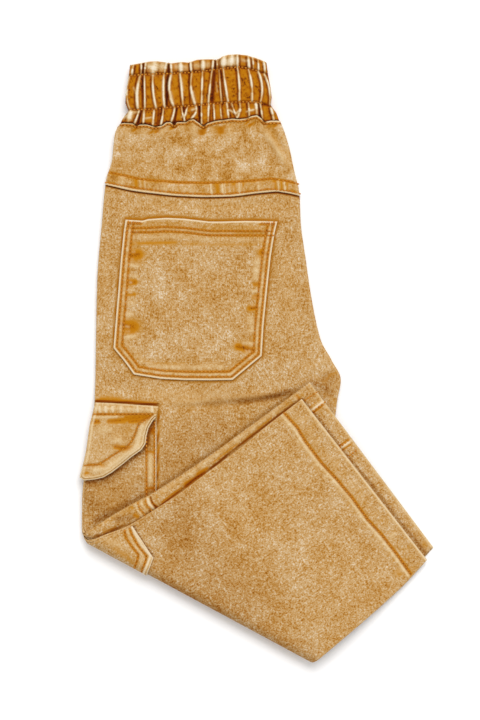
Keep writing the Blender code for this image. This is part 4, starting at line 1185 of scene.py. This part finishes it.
def band_piece():
    """One loop: its top run, the two hidden runs inside, its underside, and back to the right edge."""
    rim, foot = np.linspace(0.0, 0.02, 4), np.linspace(0.972, 1.0, 4)
    down = np.concatenate([rim, np.linspace(0.035, 0.96, BAND_ROWS), foot])
    hidden = np.linspace(0.02, 0.9, BAND_COLUMNS["hidden"])
    # share across, height, which face: 1 top, -1 underside, 0 hidden
    path = [(share, BAND_HIGH["left"], 1.0) for share in np.linspace(0.988, 0.014, BAND_COLUMNS["left"])]
    path += [(0.005, 9.9, 1.0), (0.0, 8.6, 0.5), (0.006, 7.6, 0.0)]
    path += [(share, BAND_RUNS[0] + BAND_WALL / 2.0, 0.0) for share in hidden]
    path += [(0.912, 5.5, 0.0)]
    path += [(share, BAND_RUNS[1] - BAND_WALL / 2.0, 0.0) for share in hidden[::-1]]
    path += [(0.006, 3.1, 0.0), (0.0, 2.2, -0.5), (0.005, 1.3, -1.0)]
    path += [(share, BAND_HIGH["right"], -1.0) for share in np.linspace(0.014, 0.988, BAND_COLUMNS["right"])]
    path += [(0.994, 1.1, -1.0), (0.998, 2.6, -0.6), (1.0, 5.8, 0.0), (0.998, 9.0, 0.6), (0.994, 10.5, 1.0)]
    path.append(path[0])
    share, height, face = (np.broadcast_to(item, (len(down), len(path))) for item in np.array(path).T)
    t = np.broadcast_to(down[:, None], share.shape)
    middle_y = WAIST_Y + (BAND_TOP_Y - WAIST_Y) * (1.0 - t)
    left_x, right_x = (np.interp(-middle_y, -line[:, 1], line[:, 0]) for line in (BAND_LEFT, BAND_RIGHT))
    x = left_x + (right_x - left_x) * share
    top_y = level(BAND_TOP, x)
    foot_y = level(WAIST_SEAM, x) + 0.25
    y = top_y + (foot_y - top_y) * t
    relief, pale, dye, shade = marked(band_marks(), x, y)
    other, other_pale, other_dye, _ = marked(similar(band_marks(), 91, 1.0), x, y)
    relief = np.where(face > 0.0, relief, np.where(face < 0.0, 0.45 * other, 0.0))
    pale = np.where(face > 0.0, pale, np.where(face < 0.0, other_pale, 0.1))
    dye = np.where(face > 0.0, dye, other_dye * 0.6)
    shade = np.where(face > 0.0, shade, 0.0)
    # each channel is puffed by its elastic
    puff = np.zeros(x.shape)
    for above, below in CHANNELS.values():
        high, low = level(above, x), level(below, x)
        part = np.clip((high - y) / (high - low), 0.0, 1.0)
        puff = np.maximum(puff, np.where((y <= high) & (y >= low), 4.0 * part * (1.0 - part), 0.0))
    relief = relief + 0.55 * puff * np.abs(face) - 0.4
    edge = roll(np.minimum(top_y - y, 9.0), 1.0)
    z = height + np.sign(face) * (relief - edge)
    z = np.where(face < 0.0, np.maximum(z, ON_FLOOR), z)
    for side, up in (("left", 1.0), ("right", -1.0)):
        shown = face * up > 0.9
        BEDS[side + "_band"] = Bed("left", up, x[shown], y[shown], z[shown])
    pale = screen(pale, 0.42 * hump(top_y - y, 0.0, 0.6))
    patchy = 0.8 + 0.14 * waves(x, y, 7.0, 17) + 0.09 * waves(x, y, 2.6, 18)
    dye = np.maximum(patchy, dye)
    shade = screen(shade, np.clip(0.08 * waves(x, y, 5.0, 19), 0.0, 0.12) * (face > 0.0))
    shade = shade * (1.0 - 0.85 * pale)
    cut = np.stack([np.broadcast_to(lengths(np.stack([x, z], -1)[50]), x.shape), y], -1)
    cloth_piece("waistband_casing", "waistband", place("left", x, y, z), cut, (pale, dye, shade), BAND_DENIM,
                wall=BAND_WALL, flip=True, ring=True)


# === Stitching ===================================================
def stitch_rows(rows):
    """Each row lies on its bed: a mesh of small rounded stitches that goes round the fold with the cloth."""
    whole = bmesh.new()
    for bed_name, line, pitch in rows:
        bed = BEDS[bed_name]
        row = bmesh.new()
        points = drawn(line, pitch)
        for start, end in zip(points, points[1:]):
            middle = (start + end) / 2.0
            step = end - start
            away = (bed.x - middle[0]) ** 2 + (bed.y - middle[1]) ** 2
            nearest = np.argmin(away)
            if away.flat[nearest] > OFF_BED:
                continue
            height = bed.face.flat[nearest] + bed.up * STITCH_LIFT
            seat = Matrix.Translation((middle[0], middle[1], height))
            turn = Matrix.Rotation(math.atan2(step[1], step[0]), 4, "Z")
            size = Matrix.Diagonal((np.hypot(*step) * STITCH_SHARE / 2.0, *STITCH_SIZE, 1.0))
            bmesh.ops.create_uvsphere(row, u_segments=6, v_segments=4, radius=1.0, matrix=seat @ turn @ size)
        flat = np.array([vert.co for vert in row.verts])
        for vert, point in zip(row.verts, place(bed.leg, *flat.T)):
            vert.co = point
        part = bpy.data.meshes.new("row")
        row.to_mesh(part)
        row.free()
        whole.from_mesh(part)
        bpy.data.meshes.remove(part)
    return whole


def stitching(name, rows):
    whole = stitch_rows(rows)
    mesh = bpy.data.meshes.new(name)
    whole.to_mesh(mesh)
    whole.free()
    mesh.polygons.foreach_set("use_smooth", np.ones(len(mesh.polygons), bool))
    mesh.materials.append(THREAD)
    item = in_scene(name, mesh)
    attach(item, "root")


# === Finishes ====================================================
UNDER_LIGHT = 0.77       # a colour is darker than the photograph's by this, because the light is strong
ALONG_WARP = (1.0, 0.8, 1.0)


def srgb(red, green, blue):
    """A colour as the photograph's values, made linear."""
    values = (value / 255.0 for value in (red, green, blue))
    linear = (v / 12.92 if v <= 0.04045 else ((v + 0.055) / 1.055) ** 2.4 for v in values)
    return (*(min(1.0, v * UNDER_LIGHT) for v in linear), 1.0)


def stops(*rows):
    """A ramp's stops from rows of position, red, green and blue."""
    return [(at, srgb(*colour)) for at, *colour in rows]


def feed(tree, socket, value):
    if isinstance(value, bpy.types.NodeSocket):
        tree.links.new(value, socket)
    else:
        socket.default_value = value


def add(tree, kind, inputs=None, **settings):
    made = tree.nodes.new("ShaderNode" + kind)
    for key, value in settings.items():
        setattr(made, key, value)
    for key, value in (inputs or {}).items():
        feed(tree, made.inputs[key], value)
    return made


def sums(tree, operation, first, second, clamp=False):
    return add(tree, "Math", {0: first, 1: second}, operation=operation, use_clamp=clamp).outputs[0]


def ramp(tree, value, stops):
    made = add(tree, "ValToRGB", {0: value})
    line = made.color_ramp
    line.elements[0].position, line.elements[0].color = stops[0]
    line.elements[-1].position, line.elements[-1].color = stops[-1]
    for at, colour in stops[1:-1]:
        line.elements.new(at).color = colour
    return made.outputs[0]


def mixed(tree, share, first, second):
    made = add(tree, "Mix", data_type="RGBA")
    for index, value in ((0, share), (6, first), (7, second)):
        feed(tree, made.inputs[index], value)
    return made.outputs[2]


def noise(tree, where, scale, detail, stretch=(1.0, 1.0, 1.0), rough=0.5):
    mapped = add(tree, "Mapping", {"Vector": where, "Scale": tuple(scale * s for s in stretch)}).outputs[0]
    settings = {"Vector": mapped, "Scale": 1.0, "Detail": detail, "Roughness": rough}
    return add(tree, "TexNoise", settings).outputs[0]


def finish(name, **settings):
    """A new material's tree and shader, with the shader's plain settings."""
    material = bpy.data.materials.new(name)
    material.use_nodes = True
    shader = material.node_tree.nodes["Principled BSDF"]
    for key, value in settings.items():
        shader.inputs[key.replace("_", " ")].default_value = value
    return material, material.node_tree, shader


def denim(name, tones, speckle=1.0, ivory=(242, 220, 186), blotch=1.0):
    """Acid-washed stretch denim: pale fibre flecks over dyed yarn, mottled, with a warp grain, and painted
    shade.
    """
    material, tree, shader = finish(name, Roughness=0.92, Specular_IOR_Level=0.08, Sheen_Weight=0.07,
                                    Sheen_Roughness=0.5, Sheen_Tint=srgb(246, 226, 196))
    where = add(tree, "UVMap", uv_map="Cut").outputs[0]
    fleck = noise(tree, where, 860.0, 2.0, ALONG_WARP, 0.6)
    fine = noise(tree, where, 1900.0, 1.0)
    grain = noise(tree, where, 260.0, 2.0, (5.0, 0.8, 1.0), 0.6)
    mottle = noise(tree, where, 110.0, 3.0, ALONG_WARP, 0.6)
    patch = noise(tree, where, 30.0, 2.0)
    cluster = noise(tree, where, 400.0, 2.0, ALONG_WARP, 0.5)
    tone = 0.5
    for source, strength in ((fleck, 1.75 * speckle), (fine, 0.62 * speckle), (cluster, 0.95 * speckle),
                             (grain, 0.4), (mottle, 0.66 * blotch), (patch, 0.55 * blotch)):
        part = sums(tree, "MULTIPLY_ADD", source, strength)
        part.node.inputs[2].default_value = -0.5 * strength
        tone = sums(tree, "ADD", part, tone)
    pale, dye, shade = (add(tree, "Attribute", attribute_name=wash).outputs["Fac"]
                        for wash in ("pale", "dye", "shade"))
    # the wash's edges break up with the fibre
    rough_edge = sums(tree, "ADD", sums(tree, "MULTIPLY", fleck, 0.9), sums(tree, "MULTIPLY", mottle, 0.5))
    worn_dye = sums(tree, "MULTIPLY", dye, sums(tree, "ADD", rough_edge, 0.25), True)
    worn_pale = sums(tree, "MULTIPLY", pale, sums(tree, "ADD", rough_edge, 0.32), True)
    deep = ramp(tree, worn_dye, stops((0.0, 204, 150, 60), (0.5, 202, 134, 22), (0.8, 194, 120, 4),
                                      (0.93, 166, 92, 2), (1.0, 124, 62, 2)))
    # the dye gives way to the plain tan before the wash turns ivory
    kept = sums(tree, "SUBTRACT", 1.0, sums(tree, "MULTIPLY", worn_pale, 1.5), True)
    share = sums(tree, "MULTIPLY", sums(tree, "MULTIPLY", worn_dye, 1.9, True), kept)
    colour = mixed(tree, share, ramp(tree, tone, tones), deep)
    washed = ramp(tree, worn_pale, stops((0.0, 214, 162, 88), (0.5, 230, 198, 146), (1.0, *ivory)))
    colour = mixed(tree, sums(tree, "MULTIPLY", worn_pale, 1.5, True), colour, washed)
    # painted shade: the shade attribute darkens and browns the colour, then mixes in a dark brown
    painted_shade_gamma = sums(tree, "ADD", sums(tree, "MULTIPLY", shade, 1.6), 1.0)
    colour = add(tree, "Gamma", {"Color": colour, "Gamma": painted_shade_gamma}).outputs[0]
    colour = mixed(tree, sums(tree, "MULTIPLY", shade, 0.5), colour, srgb(58, 28, 4))
    tree.links.new(colour, shader.inputs["Base Color"])
    twill = add(tree, "TexWave", {"Vector": where, "Scale": 340.0, "Distortion": 1.5, "Detail": 1.0},
                bands_direction="DIAGONAL").outputs[1]
    relief = sums(tree, "ADD", fleck, sums(tree, "MULTIPLY", twill, 0.25))
    relief = sums(tree, "ADD", relief, sums(tree, "MULTIPLY", fine, 0.5))
    bump = add(tree, "Bump", {"Strength": 0.6, "Distance": 0.0005, "Height": relief})
    tree.links.new(bump.outputs[0], shader.inputs["Normal"])
    return material


def thread(name):
    """Mustard topstitch thread, a little uneven, with its twist."""
    material, tree, shader = finish(name, Roughness=0.7, Specular_IOR_Level=0.3)
    where = add(tree, "TexCoord").outputs["Object"]
    colour = ramp(tree, noise(tree, where, 300.0, 2.0), stops((0.2, 180, 104, 4), (0.5, 204, 126, 12),
                                                               (0.8, 222, 154, 44)))
    tree.links.new(colour, shader.inputs["Base Color"])
    bump = add(tree, "Bump", {"Strength": 0.4, "Distance": 0.0002, "Height": noise(tree, where, 2600.0, 1.0)})
    tree.links.new(bump.outputs[0], shader.inputs["Normal"])
    return material


THREAD = thread("Mustard thread")
TAN_TONES = stops((0.0, 158, 95, 16), (0.22, 188, 130, 47), (0.45, 202, 156, 94), (0.66, 213, 176, 124),
                  (0.85, 225, 197, 158), (1.0, 238, 218, 190))
YOKE_TONES = stops((0.0, 162, 97, 14), (0.22, 192, 133, 48), (0.45, 207, 160, 96), (0.66, 218, 180, 127),
                   (0.85, 230, 201, 161), (1.0, 242, 221, 193))
DENIM = denim("Washed tan denim", TAN_TONES)
YOKE_DENIM = denim("Washed tan yoke denim", YOKE_TONES, 0.85, blotch=1.9)
POCKET_DENIM = denim("Washed tan pocket denim", TAN_TONES, blotch=1.15)
BAND_DENIM = denim("Gathered mustard denim", TAN_TONES, 0.8, (255, 242, 218), 1.6)


# === Build =======================================================
for make_piece in (front_piece, yoke_piece, back_piece, pocket_piece, cargo_piece, flap_piece):
    for leg in LEGS:
        make_piece(leg)
band_piece()

pocket_hem = from_photo((125.6, 227.9) + PHOTO_POCKET_HEM + (274.6, 231.2))
below_waist = np.concatenate([
    from_photo((119.4, 125.2)), WAIST_SEAM[2:-1] + BELOW_WAIST, from_photo((279.6, 123.4))])
for side, prefix in zip(LEGS, ("", "under_")):
    stitching(prefix + "waistband_stitching", [
        (side + "_band", row[:-1] + (0.8, 0.0), BAND_PITCH) for row in (ROW_HIGH, ROW_LOW)])
    stitching(prefix + "yoke_stitching", [
        (side + "_yoke", below_waist, BAND_PITCH), (side + "_yoke", YOKE_HIGH, STITCH_PITCH),
        (side + "_yoke", YOKE_LOW, STITCH_PITCH)])
    rows = [(corner_free(POCKET_SIDES, inset), STITCH_PITCH) for inset in POCKET_STITCHES]
    rows += [(pocket_hem, STITCH_PITCH), (pocket_hem + POCKET_HEM_GAP, STITCH_PITCH)]
    rows += [(from_photo(tack), TACK_PITCH) for tack in BAR_TACKS]
    stitching(prefix + "back_pocket_stitching", [(side + "_back_pocket", *row) for row in rows])
cargo_side = cargo_outline("left")["right"][:2]
flap_stitch = from_photo((93, 414.1, 120, 414.3, 152.4, 414.2))
flap_free_stitch = from_photo((150.6, 417.4, 144, 420.4, 138.8, 424.5) + PHOTO_FLAP_SEAM + (83.6, 465.6))
stitching("cargo_stitching", [(bed, line, STITCH_PITCH) for bed, line in (
    *(("left_cargo_pocket", cargo_side + inset) for inset in CARGO_STITCHES),
    ("right_cargo_pocket", CARGO_STITCH_NEAR), ("right_cargo_pocket", CARGO_STITCH_FAR),
    ("left_cargo_flap", flap_stitch), ("left_cargo_flap", flap_free_stitch))])
stitching("hem_stitching", [("right_back", HEM_STITCH, HEM_PITCH), ("left_back", HEM_STITCH, HEM_PITCH)])
stitching("strip_stitching", [("left_front", on_left(line), STRIP_PITCH) for line in STRIP_STITCHES])

# === Floor, light and camera =====================================
FLOOR_SIZE = 4.0
FLOOR_DROP = (0.0, 0.0, -0.0002)
PAPER_WHITE = (0.93, 0.93, 0.93, 1.0)
SURROUND_STRENGTH = 0.76
KEY_STRENGTH = 1.95
KEY_WIDTH = math.radians(36.0)          # wide, so that its shadows are soft
KEY_FROM = Vector((0.2, 0.8, 1.3))
floor_shape = bmesh.new()
bmesh.ops.create_grid(floor_shape, x_segments=1, y_segments=1, size=FLOOR_SIZE)
bmesh.ops.translate(floor_shape, vec=FLOOR_DROP, verts=floor_shape.verts)
floor_mesh = bpy.data.meshes.new("floor")
floor_shape.to_mesh(floor_mesh)
floor_shape.free()
paper, _, paper_shader = finish("White paper", Roughness=0.9, Specular_IOR_Level=0.1)
paper_shader.inputs["Base Color"].default_value = PAPER_WHITE
floor_mesh.materials.append(paper)
floor = in_scene("floor", floor_mesh)

world = bpy.data.worlds.new("Studio")
world.use_nodes = True
surround = world.node_tree.nodes["Background"]
surround.inputs["Color"].default_value = (1.0, 1.0, 1.0, 1.0)
surround.inputs["Strength"].default_value = SURROUND_STRENGTH
bpy.context.scene.world = world

sun = bpy.data.lights.new("Key light", "SUN")
sun.energy = KEY_STRENGTH
sun.angle = KEY_WIDTH
key_light = in_scene("Key light", sun)
key_light.rotation_euler = KEY_FROM.to_track_quat("Z", "Y").to_euler()

VIEW_HEIGHT = 0.576      # what the photograph's 720 rows span at the cloth
CLOTH_HEIGHT = 0.010
CAMERA_HEIGHT = 3.0
SENSOR = 36.0
PHOTO_MIDDLE = (from_photo((240, 360))[0] - CENTRE) * MM
camera_data = bpy.data.cameras.new("Camera")
camera_data.sensor_fit = "VERTICAL"
camera_data.sensor_height = SENSOR
camera_data.lens = SENSOR * (CAMERA_HEIGHT - CLOTH_HEIGHT) / VIEW_HEIGHT
camera_data.clip_end = 20.0
camera = in_scene("Camera", camera_data)
camera.location = (*PHOTO_MIDDLE, CAMERA_HEIGHT)
bpy.context.scene.camera = camera
bpy.context.scene.view_settings.view_transform = "Standard"
